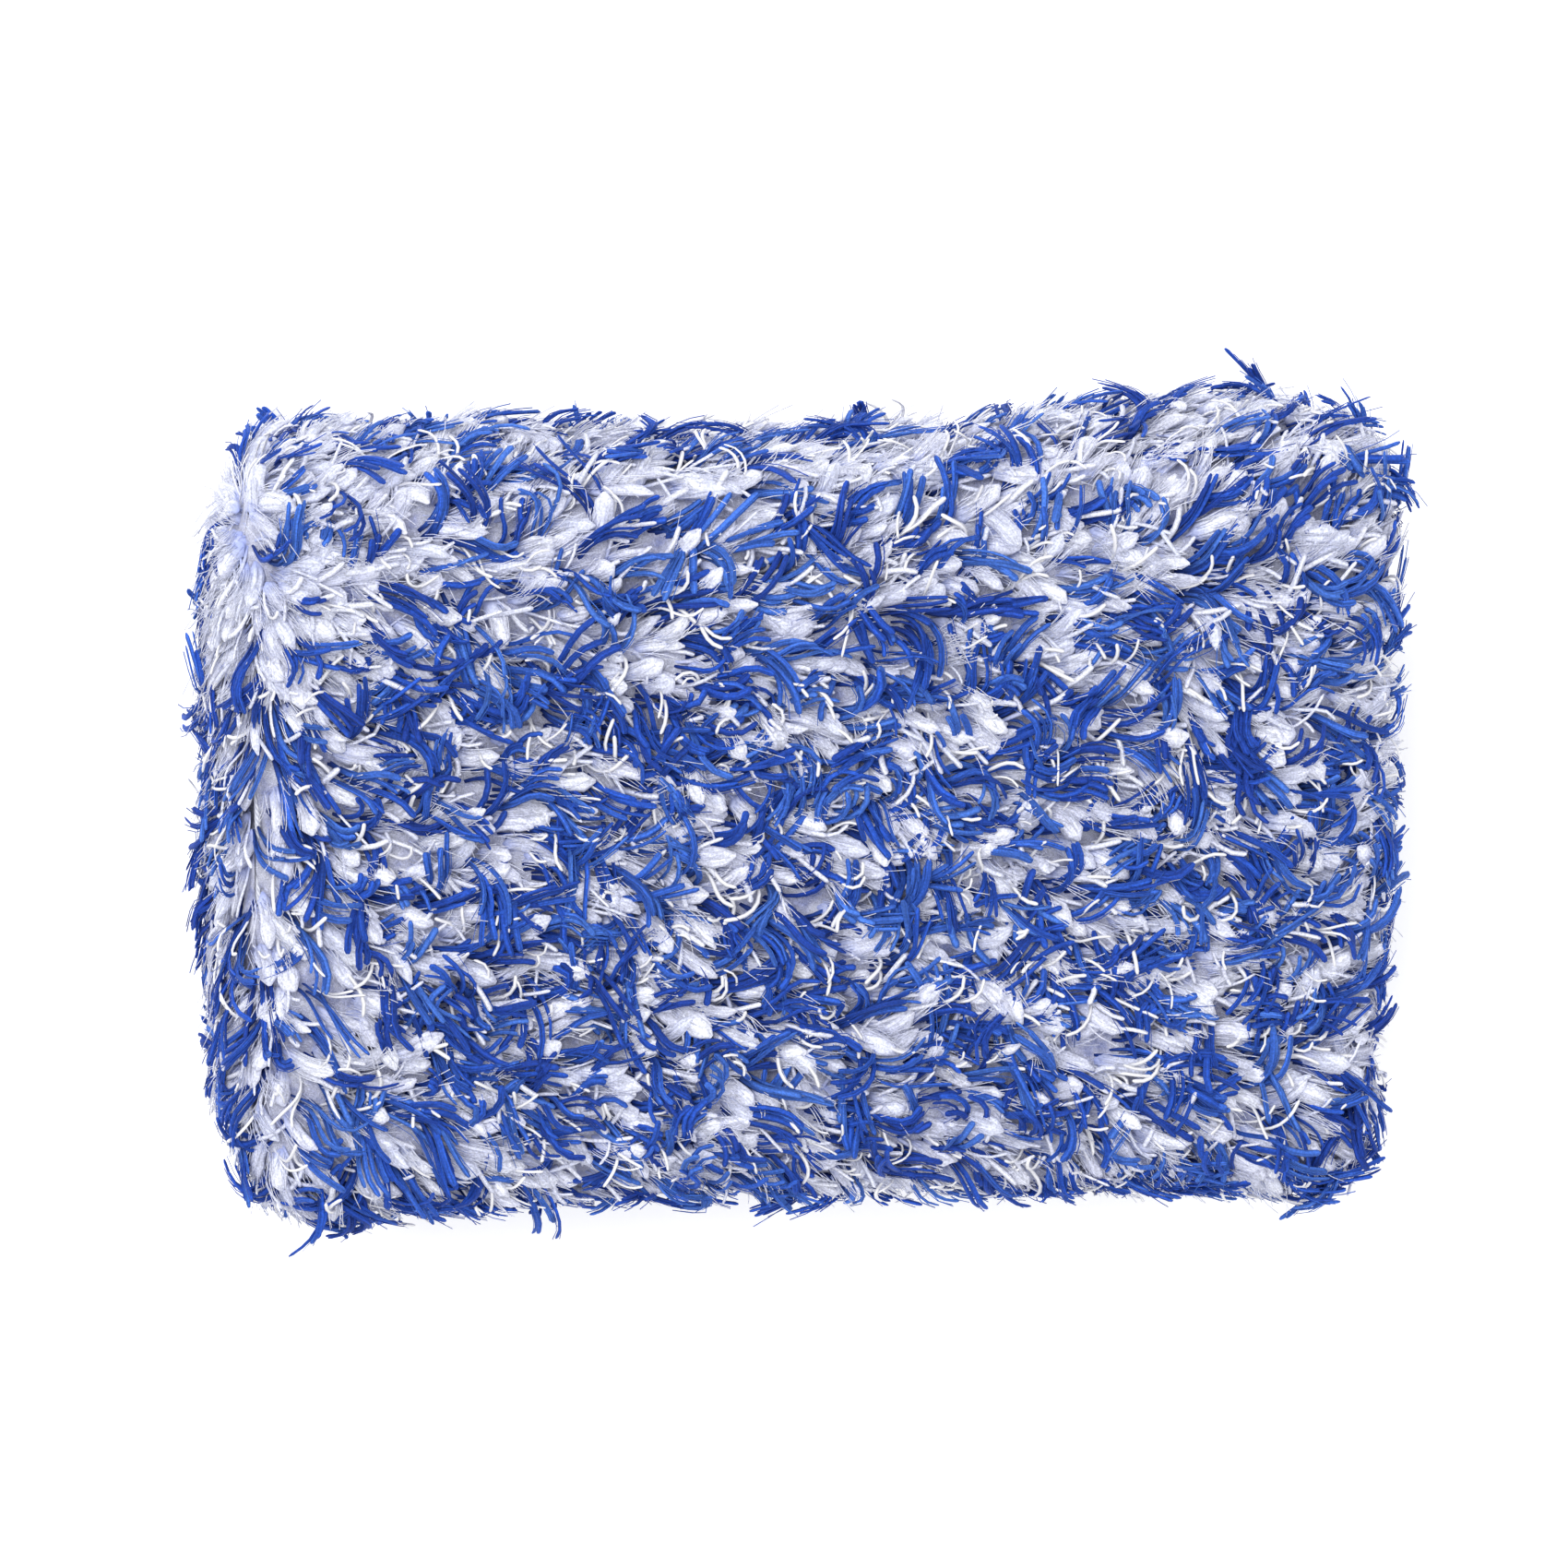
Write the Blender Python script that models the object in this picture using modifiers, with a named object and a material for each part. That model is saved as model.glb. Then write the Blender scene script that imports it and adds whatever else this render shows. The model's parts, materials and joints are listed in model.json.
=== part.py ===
"""A rectangular microfibre wash mitt, lying on its back face, in metres with +Z up.

The mitt is a sewn box. Long-pile plush is its skin: a palm panel on top, a back panel below, a gusset
strip round three sides and a facing round the mouth. Inside the skin a sponge core keeps the box shape,
and a two-piece lining makes the hand pocket. A knitted cuff with an elastic band closes the mouth, at +X.
The plush solids include the pile, at its combed-down height. The hanging loop and the care label are sewn
by one edge to the mouth end, and each turns about that edge.
The origin is the middle of the rectangle that the mitt rests on.
"""

import math

import bmesh
import bpy
from mathutils import Vector

MM = 0.001

# Driving sizes of the whole mitt.
LENGTH = 250 * MM
WIDTH = 170 * MM
HEIGHT = 60 * MM
GAP = 0.3 * MM  # room between pieces that touch
CORNER_RADIUS = 20 * MM  # seen from above
EDGE_RADIUS = 10 * MM  # where a face turns into the sides
PALM_OVERHANG = 8 * MM  # how far the palm side reaches past the back side at the mouth

# Thickness of each layer.
PLUSH = 12 * MM
PALM_SPONGE = 8 * MM
BACK_SPONGE = 6 * MM
SIDE_WADDING = 8 * MM
LINING = 0.8 * MM
CUFF = 1.2 * MM

# Levels, from the resting face up.
BACK_PLUSH_TOP = PLUSH
BACK_SPONGE_TOP = BACK_PLUSH_TOP + GAP + BACK_SPONGE
POCKET_FLOOR = BACK_SPONGE_TOP + GAP  # the lining's outside, below
PALM_PLUSH_UNDERSIDE = HEIGHT - PLUSH
PALM_SPONGE_UNDERSIDE = PALM_PLUSH_UNDERSIDE - GAP - PALM_SPONGE
POCKET_ROOF = PALM_SPONGE_UNDERSIDE - GAP  # the lining's outside, above
POCKET_MIDDLE = (POCKET_FLOOR + POCKET_ROOF) / 2

# Stations along X, from the finger end to the mouth.
FINGER_END = -LENGTH / 2
PALM_MOUTH_END = LENGTH / 2
BACK_MOUTH_END = PALM_MOUTH_END - PALM_OVERHANG
RING_FINGER_INSIDE = FINGER_END + PLUSH
RING_MOUTH_INSIDE = BACK_MOUTH_END - PLUSH
CORE_FINGER_END = RING_FINGER_INSIDE + GAP
CORE_MOUTH_END = RING_MOUTH_INSIDE - GAP
POCKET_FINGER_END = CORE_FINGER_END + SIDE_WADDING + GAP
POCKET_MOUTH_END = 66 * MM  # the lining meets the cuff here
CUFF_SHOULDER = 70 * MM  # the cuff is as wide as the lining up to here
CUFF_NECK = 98 * MM  # and at its narrowest from here to the mouth
FINGER_SEAM = FINGER_END + CORNER_RADIUS
MOUTH_SEAM = BACK_MOUTH_END - CORNER_RADIUS

# Half widths along Y.
HALF_WIDTH = WIDTH / 2
RING_INSIDE = HALF_WIDTH - PLUSH
CORE_HALF = RING_INSIDE - GAP
CORE_CORNER = CORNER_RADIUS - PLUSH - GAP
POCKET_HALF = CORE_HALF - SIDE_WADDING - GAP
MOUTH_HALF = 52 * MM

# Thread and trim.
SEAM_RADIUS = 0.8 * MM
FINE_SEAM_RADIUS = 0.6 * MM
SEAM_CHANNEL = 3.5 * MM  # the chamfer of the sponge that leaves room for the seam
SEAM_SETBACK = 1.2 * MM  # the seam's middle, from both plush pieces that it joins
ELASTIC = 1.3 * MM
ELASTIC_WIDTH = 8 * MM
CUFF_NECK_INSET = 1.6 * MM  # room round the neck of the cuff for the elastic
BINDING = 1.8 * MM
BINDING_LAP = 2.2 * MM  # how far the binding covers the plush round the mouth
BAR_TACK = 0.6 * MM

TAPE = 1.2 * MM  # the loop's webbing
TAPE_WIDTH = 12 * MM
LOOP_LENGTH = 45 * MM
LOOP_OPENING = 4.8 * MM
LOOP_LEGS_PART = 5 * MM  # from the hinge line to where the two legs part
LOOP_FULL_WIDTH = 18 * MM  # from the hinge line to where the opening is at its widest
LOOP_HINGE = Vector((BACK_MOUTH_END + GAP + TAPE, -54 * MM, 9 * MM))

LABEL = 0.6 * MM
LABEL_LENGTH = 26 * MM
LABEL_HEIGHT = 13 * MM
LABEL_HINGE = Vector((BACK_MOUTH_END + GAP + LABEL, 56 * MM, 9 * MM))
TAB_LENGTH = 7 * MM
TAB_CLEARANCE = 2.2 * MM  # from a hinge line to the sewn tab behind it

MITT = bpy.data.collections.new("wash_mitt")
CUTTERS = bpy.data.collections.new("cutters")


def start_empty():
    for obj in list(bpy.data.objects):
        bpy.data.objects.remove(obj, do_unlink=True)
    bpy.context.scene.collection.children.link(MITT)
    bpy.context.scene.collection.children.link(CUTTERS)


def make_material(name, colour, roughness):
    material = bpy.data.materials.new(name)
    material.use_nodes = True
    shader = material.node_tree.nodes["Principled BSDF"]
    shader.inputs["Base Color"].default_value = (*colour, 1)
    shader.inputs["Roughness"].default_value = roughness
    shader.inputs["Metallic"].default_value = 0
    return material


def make_materials():
    return {
        "plush": make_material("plush", (0.33, 0.42, 0.78), 0.95),
        "sponge": make_material("sponge", (0.86, 0.84, 0.76), 0.95),
        "wadding": make_material("wadding", (0.88, 0.88, 0.88), 0.95),
        "lining": make_material("lining", (0.80, 0.82, 0.88), 0.9),
        "cuff": make_material("cuff", (0.05, 0.14, 0.52), 0.9),
        "elastic": make_material("elastic", (0.85, 0.85, 0.83), 0.7),
        "binding": make_material("binding", (0.03, 0.10, 0.45), 0.85),
        "thread": make_material("thread", (0.90, 0.90, 0.92), 0.7),
        "webbing": make_material("webbing", (0.03, 0.10, 0.45), 0.85),
        "label": make_material("label", (0.93, 0.93, 0.92), 0.6),
    }


def new_object(name, data, collection, material=None):
    obj = bpy.data.objects.new(name, data)
    collection.objects.link(obj)
    if material:
        data.materials.append(material)
    return obj


def box_mesh(name, low, high, corner_radius=0, top_radius=0, bottom_radius=0):
    """A box from two corners, with its upright edges rounded, and then the rim of its top or bottom."""
    bm = bmesh.new()
    bmesh.ops.create_cube(bm, size=1)
    size = Vector(high) - Vector(low)
    bmesh.ops.scale(bm, vec=size, verts=bm.verts)
    bmesh.ops.translate(bm, vec=(Vector(high) + Vector(low)) / 2, verts=bm.verts)
    if corner_radius:
        upright = [e for e in bm.edges if abs(e.verts[0].co.z - e.verts[1].co.z) > size.z / 2]
        round_edges(bm, upright, corner_radius)
    for radius, level in ((top_radius, high[2]), (bottom_radius, low[2])):
        if radius:
            rim = [e for e in bm.edges if all(abs(v.co.z - level) < GAP / 10 for v in e.verts)]
            round_edges(bm, rim, radius)
    mesh = bpy.data.meshes.new(name)
    bm.to_mesh(mesh)
    bm.free()
    return mesh


def round_edges(bm, edges, radius):
    bmesh.ops.bevel(bm, geom=edges, offset=radius, segments=5, profile=0.5, affect="EDGES")


def make_box(name, low, high, material, **radii):
    obj = new_object(name, box_mesh(name, low, high, **radii), MITT, material)
    obj.data.shade_smooth()
    obj.data.set_sharp_from_angle(angle=math.radians(40))
    return obj


def make_cutter(name, low, high, **radii):
    obj = new_object(name, box_mesh(name, low, high, **radii), CUTTERS)
    obj.display_type = "WIRE"
    obj.hide_render = True
    return obj


def cut(obj, cutter, operation):
    modifier = obj.modifiers.new(cutter.name, "BOOLEAN")
    modifier.operation = operation
    modifier.object = cutter
    modifier.solver = "EXACT"


def make_panels(plush):
    """The two big faces. The pile rolls over their rims, so the outer rim of each is rounded."""
    make_box("palm_plush_panel", (FINGER_END, -HALF_WIDTH, PALM_PLUSH_UNDERSIDE),
             (PALM_MOUTH_END, HALF_WIDTH, HEIGHT), plush,
             corner_radius=CORNER_RADIUS, top_radius=EDGE_RADIUS)
    make_box("back_plush_panel", (FINGER_END, -HALF_WIDTH, 0),
             (BACK_MOUTH_END, HALF_WIDTH, BACK_PLUSH_TOP), plush,
             corner_radius=CORNER_RADIUS, bottom_radius=EDGE_RADIUS)


def make_ring_piece(name, inside, low, high, plush):
    """One length of the plush wall between the two panels: a whole ring, hollowed, and cut to its length."""
    piece = make_box(name, (FINGER_END, -HALF_WIDTH, BACK_PLUSH_TOP + GAP),
                     (BACK_MOUTH_END, HALF_WIDTH, PALM_PLUSH_UNDERSIDE - GAP), plush,
                     corner_radius=CORNER_RADIUS)
    cut(piece, inside, "DIFFERENCE")
    cut(piece, make_cutter("length_of_" + name, low, high), "INTERSECT")


def make_gussets(plush):
    inside = make_cutter("ring_inside", (RING_FINGER_INSIDE, -RING_INSIDE, 0),
                         (RING_MOUTH_INSIDE, RING_INSIDE, HEIGHT), corner_radius=CORNER_RADIUS - PLUSH)
    seam_room = FINE_SEAM_RADIUS + GAP
    make_ring_piece("finger_end_gusset", inside, (FINGER_END - PLUSH, -WIDTH, 0),
                    (FINGER_SEAM - seam_room, WIDTH, HEIGHT), plush)
    for side, sign in (("far", 1), ("near", -1)):
        outer, mouth = sign * WIDTH, sign * (MOUTH_HALF + GAP)
        make_ring_piece(side + "_side_gusset", inside,
                        (FINGER_SEAM + seam_room, min(0, outer), 0),
                        (MOUTH_SEAM - seam_room, max(0, outer), HEIGHT), plush)
        make_ring_piece("mouth_facing_" + side, inside,
                        (MOUTH_SEAM + seam_room, min(mouth, outer), 0),
                        (LENGTH, max(mouth, outer), HEIGHT), plush)


def make_mouth_facings(plush):
    """The plush strips above and below the mouth, between the two facings at its ends."""
    make_box("mouth_facing_palm", (RING_MOUTH_INSIDE, -MOUTH_HALF, PALM_SPONGE_UNDERSIDE),
             (PALM_MOUTH_END, MOUTH_HALF, PALM_PLUSH_UNDERSIDE - GAP), plush, corner_radius=4 * MM)
    make_box("mouth_facing_back", (RING_MOUTH_INSIDE, -MOUTH_HALF, BACK_PLUSH_TOP + GAP),
             (BACK_MOUTH_END, MOUTH_HALF, BACK_SPONGE_TOP), plush)


def chamfer_rim(obj, level):
    """Takes the edge off one rim of a sponge slab, which leaves the channel for the seam."""
    bm = bmesh.new()
    bm.from_mesh(obj.data)
    rim = [e for e in bm.edges if all(abs(v.co.z - level) < GAP / 10 for v in e.verts)]
    bmesh.ops.bevel(bm, geom=rim, offset=SEAM_CHANNEL, segments=1, affect="EDGES")
    bm.to_mesh(obj.data)
    bm.free()


def make_sponges(sponge):
    palm = make_box("palm_sponge", (CORE_FINGER_END, -CORE_HALF, PALM_SPONGE_UNDERSIDE),
                    (CORE_MOUTH_END, CORE_HALF, PALM_PLUSH_UNDERSIDE - GAP), sponge,
                    corner_radius=CORE_CORNER)
    chamfer_rim(palm, PALM_PLUSH_UNDERSIDE - GAP)
    back = make_box("back_sponge", (CORE_FINGER_END, -CORE_HALF, BACK_PLUSH_TOP + GAP),
                    (CORE_MOUTH_END, CORE_HALF, BACK_SPONGE_TOP), sponge,
                    corner_radius=CORE_CORNER)
    chamfer_rim(back, BACK_PLUSH_TOP + GAP)


def make_plate(name, outlines, low, high, material):
    """A flat outline, with holes if it has more than one line, extruded from one level to another."""
    curve = bpy.data.curves.new(name, "CURVE")
    curve.dimensions = "2D"
    curve.fill_mode = "BOTH"
    curve.extrude = (high - low) / 2
    for outline in outlines:
        spline = curve.splines.new("POLY")
        spline.points.add(len(outline) - 1)
        for point, (x, y) in zip(spline.points, outline):
            point.co = (x, y, 0, 1)
        spline.use_cyclic_u = True
    obj = new_object(name, curve, MITT, material)
    obj.location.z = (high + low) / 2
    weld = obj.modifiers.new("weld_caps", "WELD")
    weld.merge_threshold = 0.01 * MM
    return obj


def arc(centre, radius, start, end, steps):
    """Points along an arc, with its angles in degrees."""
    angles = [math.radians(start + (end - start) * i / steps) for i in range(steps + 1)]
    return [(centre[0] + radius * math.cos(a), centre[1] + radius * math.sin(a)) for a in angles]


def make_wadding(wadding):
    """Strips that fill the height between the two sponges, beside the pocket and beside the cuff."""
    low, high = BACK_SPONGE_TOP + GAP, PALM_SPONGE_UNDERSIDE - GAP
    strip_end = CORE_FINGER_END + SIDE_WADDING
    x, y = CORE_FINGER_END + CORE_CORNER, CORE_HALF - CORE_CORNER
    end_strip = [
        (strip_end, CORE_HALF), *arc((x, y), CORE_CORNER, 90, 180, 4),
        *arc((x, -y), CORE_CORNER, 180, 270, 4), (strip_end, -CORE_HALF),
    ]
    make_plate("finger_end_wadding", [end_strip], low, high, wadding)
    start = strip_end + GAP
    beside_pocket, beside_neck = POCKET_HALF + GAP, MOUTH_HALF + GAP
    side_strip = [
        (start, CORE_HALF), *arc((CORE_MOUTH_END - CORE_CORNER, y), CORE_CORNER, 90, 0, 4),
        (CORE_MOUTH_END, beside_neck), (CUFF_NECK, beside_neck),
        (CUFF_SHOULDER, beside_pocket), (start, beside_pocket),
    ]
    for side, sign in (("far", 1), ("near", -1)):
        mirrored = [(x, sign * y) for x, y in side_strip]
        make_plate(side + "_side_wadding", [mirrored], low, high, wadding)


def pocket_line(inset):
    """The pocket's edge seen from above: along one side, round the finger end, and back along the other."""
    radius = 10 * MM - inset
    x, y = POCKET_FINGER_END + inset + radius, POCKET_HALF - inset - radius
    near_end, far_end = (POCKET_MOUTH_END, inset - POCKET_HALF), (POCKET_MOUTH_END, POCKET_HALF - inset)
    corner = 4
    return [near_end, *arc((x, -y), radius, 270, 180, corner), *arc((x, y), radius, 180, 90, corner), far_end]


def make_lining_panel(name, floor, rim, lining):
    """A tray of thin cloth, open at the mouth: an outline filled and its edge drawn up or down, thickened."""
    bm = bmesh.new()
    line = [bm.verts.new((x, y, floor)) for x, y in pocket_line(LINING / 2)]
    bm.faces.new(line)
    wall = [e for e in bm.edges if not all(v in (line[0], line[-1]) for v in e.verts)]
    drawn = bmesh.ops.extrude_edge_only(bm, edges=wall)["geom"]
    moved = [v for v in drawn if isinstance(v, bmesh.types.BMVert)]
    bmesh.ops.translate(bm, vec=(0, 0, rim - floor), verts=moved)
    bmesh.ops.recalc_face_normals(bm, faces=bm.faces)
    mesh = bpy.data.meshes.new(name)
    bm.to_mesh(mesh)
    bm.free()
    obj = new_object(name, mesh, MITT, lining)
    solidify = obj.modifiers.new("cloth", "SOLIDIFY")
    solidify.thickness = LINING
    solidify.offset = 0
    solidify.use_even_offset = True


def make_lining(lining):
    seam_room = FINE_SEAM_RADIUS + GAP
    make_lining_panel("lining_back_panel", POCKET_FLOOR + LINING / 2, POCKET_MIDDLE - seam_room, lining)
    make_lining_panel("lining_palm_panel", POCKET_ROOF - LINING / 2, POCKET_MIDDLE + seam_room, lining)


def mouth_section(x, half_width, low, high, radius):
    """A rounded rectangle across the mitt, as the points of one section of the cuff or the elastic."""
    y, z = half_width - radius, (high - low) / 2 - radius
    middle = (high + low) / 2
    quarter = 4
    points = [
        *arc((y, middle + z), radius, 0, 90, quarter), *arc((-y, middle + z), radius, 90, 180, quarter),
        *arc((-y, middle - z), radius, 180, 270, quarter), *arc((y, middle - z), radius, 270, 360, quarter),
    ]
    return [(x, across, up) for across, up in points]


def make_sleeve(name, sections, thickness, material):
    """A loft through sections, open at both ends, thickened inwards from its outer surface."""
    bm = bmesh.new()
    rings = [[bm.verts.new(point) for point in section] for section in sections]
    for ring, following in zip(rings, rings[1:]):
        for i in range(len(ring)):
            j = (i + 1) % len(ring)
            bm.faces.new((ring[i], ring[j], following[j], following[i]))
    bmesh.ops.recalc_face_normals(bm, faces=bm.faces)
    mesh = bpy.data.meshes.new(name)
    bm.to_mesh(mesh)
    bm.free()
    mesh.shade_smooth()
    obj = new_object(name, mesh, MITT, material)
    solidify = obj.modifiers.new("wall", "SOLIDIFY")
    solidify.thickness = thickness
    solidify.offset = -1
    solidify.use_even_offset = True


def make_cuff(cuff, elastic):
    """The knitted cuff narrows from the pocket to its neck, which the elastic band goes round."""
    wide_low, wide_high = POCKET_FLOOR, POCKET_ROOF
    neck_low, neck_high = wide_low + CUFF_NECK_INSET, wide_high - CUFF_NECK_INSET
    neck_half = MOUTH_HALF - CUFF_NECK_INSET
    radius = 4 * MM
    sections = [
        mouth_section(POCKET_MOUTH_END + GAP, POCKET_HALF, wide_low, wide_high, radius),
        mouth_section(CUFF_SHOULDER, POCKET_HALF, wide_low, wide_high, radius),
        mouth_section(CUFF_NECK, neck_half, neck_low, neck_high, radius),
        mouth_section(BACK_MOUTH_END, neck_half, neck_low, neck_high, radius),
    ]
    make_sleeve("knit_cuff", sections, CUFF, cuff)
    start = BACK_MOUTH_END - ELASTIC_WIDTH - 3 * MM
    band = [
        mouth_section(x, MOUTH_HALF, wide_low, wide_high, radius + CUFF_NECK_INSET)
        for x in (start, start + ELASTIC_WIDTH)
    ]
    make_sleeve("cuff_elastic", band, ELASTIC, elastic)


def make_binding(binding):
    """The tape round the mouth, flat against the plush below and beside it."""
    low_x, high_x = BACK_MOUTH_END + GAP, BACK_MOUTH_END + GAP + BINDING
    tape = make_box("mouth_binding", (low_x, -MOUTH_HALF - BINDING_LAP, POCKET_FLOOR - BINDING_LAP),
                    (high_x, MOUTH_HALF + BINDING_LAP, POCKET_ROOF), binding)
    inset = CUFF_NECK_INSET + CUFF
    hole = make_cutter("mouth_hole", (low_x - BINDING, inset - MOUTH_HALF, POCKET_FLOOR + inset),
                       (high_x + BINDING, MOUTH_HALF - inset, POCKET_ROOF - inset))
    cut(tape, hole, "DIFFERENCE")


def make_thread(name, places, radius, material, closed=False):
    """A run of seam thread along a list of points."""
    curve = bpy.data.curves.new(name, "CURVE")
    curve.dimensions = "3D"
    curve.bevel_depth = radius
    curve.bevel_resolution = 2
    curve.use_fill_caps = True
    spline = curve.splines.new("POLY")
    spline.points.add(len(places) - 1)
    for point, place in zip(spline.points, places):
        point.co = (*place, 1)
    spline.use_cyclic_u = closed
    new_object(name, curve, MITT, material)


def core_line(level):
    """A rounded rectangle just inside the plush wall, where a panel is sewn to the gusset."""
    corner = 4
    radius = CORNER_RADIUS - PLUSH - SEAM_SETBACK
    y = RING_INSIDE - SEAM_SETBACK - radius
    mouth_x = RING_MOUTH_INSIDE - SEAM_SETBACK - radius
    finger_x = RING_FINGER_INSIDE + SEAM_SETBACK + radius
    line = [
        *arc((mouth_x, y), radius, 0, 90, corner), *arc((finger_x, y), radius, 90, 180, corner),
        *arc((finger_x, -y), radius, 180, 270, corner), *arc((mouth_x, -y), radius, 270, 360, corner),
    ]
    return [(x, y, level) for x, y in line]


def make_seams(thread):
    make_thread("palm_edge_seam", core_line(PALM_PLUSH_UNDERSIDE - SEAM_SETBACK),
                SEAM_RADIUS, thread, closed=True)
    make_thread("back_edge_seam", core_line(BACK_PLUSH_TOP + SEAM_SETBACK),
                SEAM_RADIUS, thread, closed=True)
    levels = (BACK_PLUSH_TOP + 2 * GAP, PALM_PLUSH_UNDERSIDE - 2 * GAP)
    for end, x in (("finger", FINGER_SEAM), ("mouth", MOUTH_SEAM)):
        for side, sign in (("far", 1), ("near", -1)):
            y = sign * (RING_INSIDE + 2 * FINE_SEAM_RADIUS)
            make_thread("gusset_seam_" + end + "_" + side, [(x, y, z) for z in levels],
                        FINE_SEAM_RADIUS, thread)
    round_pocket = [(x, y, POCKET_MIDDLE) for x, y in pocket_line(LINING / 2)]
    make_thread("lining_seam", round_pocket, FINE_SEAM_RADIUS, thread)


def make_bar_tacks(thread):
    """Dense stitches over the binding at each end of the mouth."""
    x = BACK_MOUTH_END + 2 * GAP + BINDING
    half_width, half_height = 1 * MM, 3 * MM
    for side, sign in (("far", 1), ("near", -1)):
        y = sign * (MOUTH_HALF + BINDING_LAP / 2)
        make_box("mouth_bar_tack_" + side, (x, y - half_width, POCKET_MIDDLE - half_height),
                 (x + BAR_TACK, y + half_width, POCKET_MIDDLE + half_height), thread)


def smooth_step(value):
    share = min(max(value, 0), 1)
    return share * share * (3 - 2 * share)


def loop_opening_at(along):
    return LOOP_OPENING * smooth_step((along - LOOP_LEGS_PART) / (LOOP_FULL_WIDTH - LOOP_LEGS_PART))


def make_hang_loop(webbing):
    """A loop of tape standing on its edge. One leg lies along the mouth end and the other arches out."""
    steps = 6
    outer_radius = TAPE + LOOP_OPENING / 2
    tip = LOOP_LENGTH - outer_radius
    arch = LOOP_OPENING / 2
    parting = [LOOP_LEGS_PART + (LOOP_FULL_WIDTH - LOOP_LEGS_PART) * i / steps for i in range(steps + 1)]
    outer = [(-TAPE, GAP), *arc((arch, tip), outer_radius, 180, 0, 8)]
    outer += [(TAPE + loop_opening_at(along), along) for along in reversed(parting)]
    outer += [(TAPE, GAP)]
    hole = [(0, LOOP_LEGS_PART), *arc((arch, tip), LOOP_OPENING / 2, 180, 0, 8)]
    hole += [(loop_opening_at(along), along) for along in reversed(parting[1:])]
    loop = make_plate("hang_loop", [outer, hole], -TAPE_WIDTH / 2, TAPE_WIDTH / 2, webbing)
    loop.location = LOOP_HINGE


def make_loop_tab(webbing):
    """The two ends of the loop's tape, flat together where they are sewn to the mouth end."""
    end = LOOP_HINGE.y - TAB_CLEARANCE
    make_box("hang_loop_tab", (LOOP_HINGE.x - TAPE, end - TAB_LENGTH, LOOP_HINGE.z - TAPE_WIDTH / 2),
             (LOOP_HINGE.x + TAPE, end, LOOP_HINGE.z + TAPE_WIDTH / 2), webbing)


def make_care_label(label, thread):
    """A blank label, folded double, with its sewn edge towards the far side."""
    half_height = LABEL_HEIGHT / 2
    flap = make_box("care_label", (-LABEL, -LABEL_LENGTH, -half_height),
                    (0, -GAP, half_height), label)
    flap.location = LABEL_HINGE
    start = LABEL_HINGE.y + TAB_CLEARANCE
    make_box("care_label_tack", (LABEL_HINGE.x - LABEL, start, LABEL_HINGE.z - half_height),
             (LABEL_HINGE.x + LABEL, start + TAB_LENGTH / 2, LABEL_HINGE.z + half_height), thread)


def build():
    start_empty()
    materials = make_materials()
    make_panels(materials["plush"])
    make_gussets(materials["plush"])
    make_mouth_facings(materials["plush"])
    make_sponges(materials["sponge"])
    make_wadding(materials["wadding"])
    make_lining(materials["lining"])
    make_cuff(materials["cuff"], materials["elastic"])
    make_binding(materials["binding"])
    make_seams(materials["thread"])
    make_bar_tacks(materials["thread"])
    make_hang_loop(materials["webbing"])
    make_loop_tab(materials["webbing"])
    make_care_label(materials["label"], materials["thread"])


build()
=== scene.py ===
"""The looks of the wash mitt: long blue and white pile on a soft sewn block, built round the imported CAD.

A ground of white fluff is made from the CAD's own sizes and swelled as cloth. Its distance field then leads
every lock, tuft and yarn of the pile, which are closed meshes combed along it.
"""

import json
import math

import bmesh
import bpy
import numpy as np
from mathutils import Matrix, Vector, noise
from mathutils.bvhtree import BVHTree


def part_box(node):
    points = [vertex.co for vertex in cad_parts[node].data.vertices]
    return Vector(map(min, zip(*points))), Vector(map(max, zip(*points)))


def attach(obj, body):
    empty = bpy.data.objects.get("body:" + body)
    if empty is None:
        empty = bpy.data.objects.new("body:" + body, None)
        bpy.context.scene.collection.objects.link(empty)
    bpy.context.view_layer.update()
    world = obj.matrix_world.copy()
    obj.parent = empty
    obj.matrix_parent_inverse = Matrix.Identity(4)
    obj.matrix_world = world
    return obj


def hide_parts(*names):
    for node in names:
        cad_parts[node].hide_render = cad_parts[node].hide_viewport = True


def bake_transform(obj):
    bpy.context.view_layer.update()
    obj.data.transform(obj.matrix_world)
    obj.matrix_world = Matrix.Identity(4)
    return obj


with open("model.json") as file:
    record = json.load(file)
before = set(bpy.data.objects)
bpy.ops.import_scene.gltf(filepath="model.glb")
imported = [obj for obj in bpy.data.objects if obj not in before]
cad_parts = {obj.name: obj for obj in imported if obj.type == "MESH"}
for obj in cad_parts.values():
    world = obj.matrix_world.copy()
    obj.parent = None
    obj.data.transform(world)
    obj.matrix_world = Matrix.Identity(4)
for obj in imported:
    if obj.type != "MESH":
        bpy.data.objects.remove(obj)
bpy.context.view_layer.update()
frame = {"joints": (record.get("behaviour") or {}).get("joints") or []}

MM = 0.001
SEED = 11

# How far the ground of the pile lies inside the CAD's outer surface, which is the top of the combed pile.
GROUND_INSET = 7.5 * MM
GROUND_REACH = 4 * MM
LIP_INSET = 6 * MM
GROUND_OVER_FLOOR = 2.5 * MM
GROUND_CORNER = 12 * MM
GROUND_EDGE = 4 * MM
VOXEL = 5 * MM
SWELL_CAP = 4.5 * MM
LUMP_HEIGHT = 1.3 * MM
LUMP_SIZE = 11 * MM
SAMPLES_PER_CELL = 3
COVER_DEPTH = 1.5 * MM
# Where the pile is trimmed closer: how far inside each face this starts, and what is kept of the rest.
END_TRIM, END_KEPT = 5 * MM, 0.45
SIDE_TRIM, SIDE_KEPT = 4 * MM, 0.8

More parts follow.
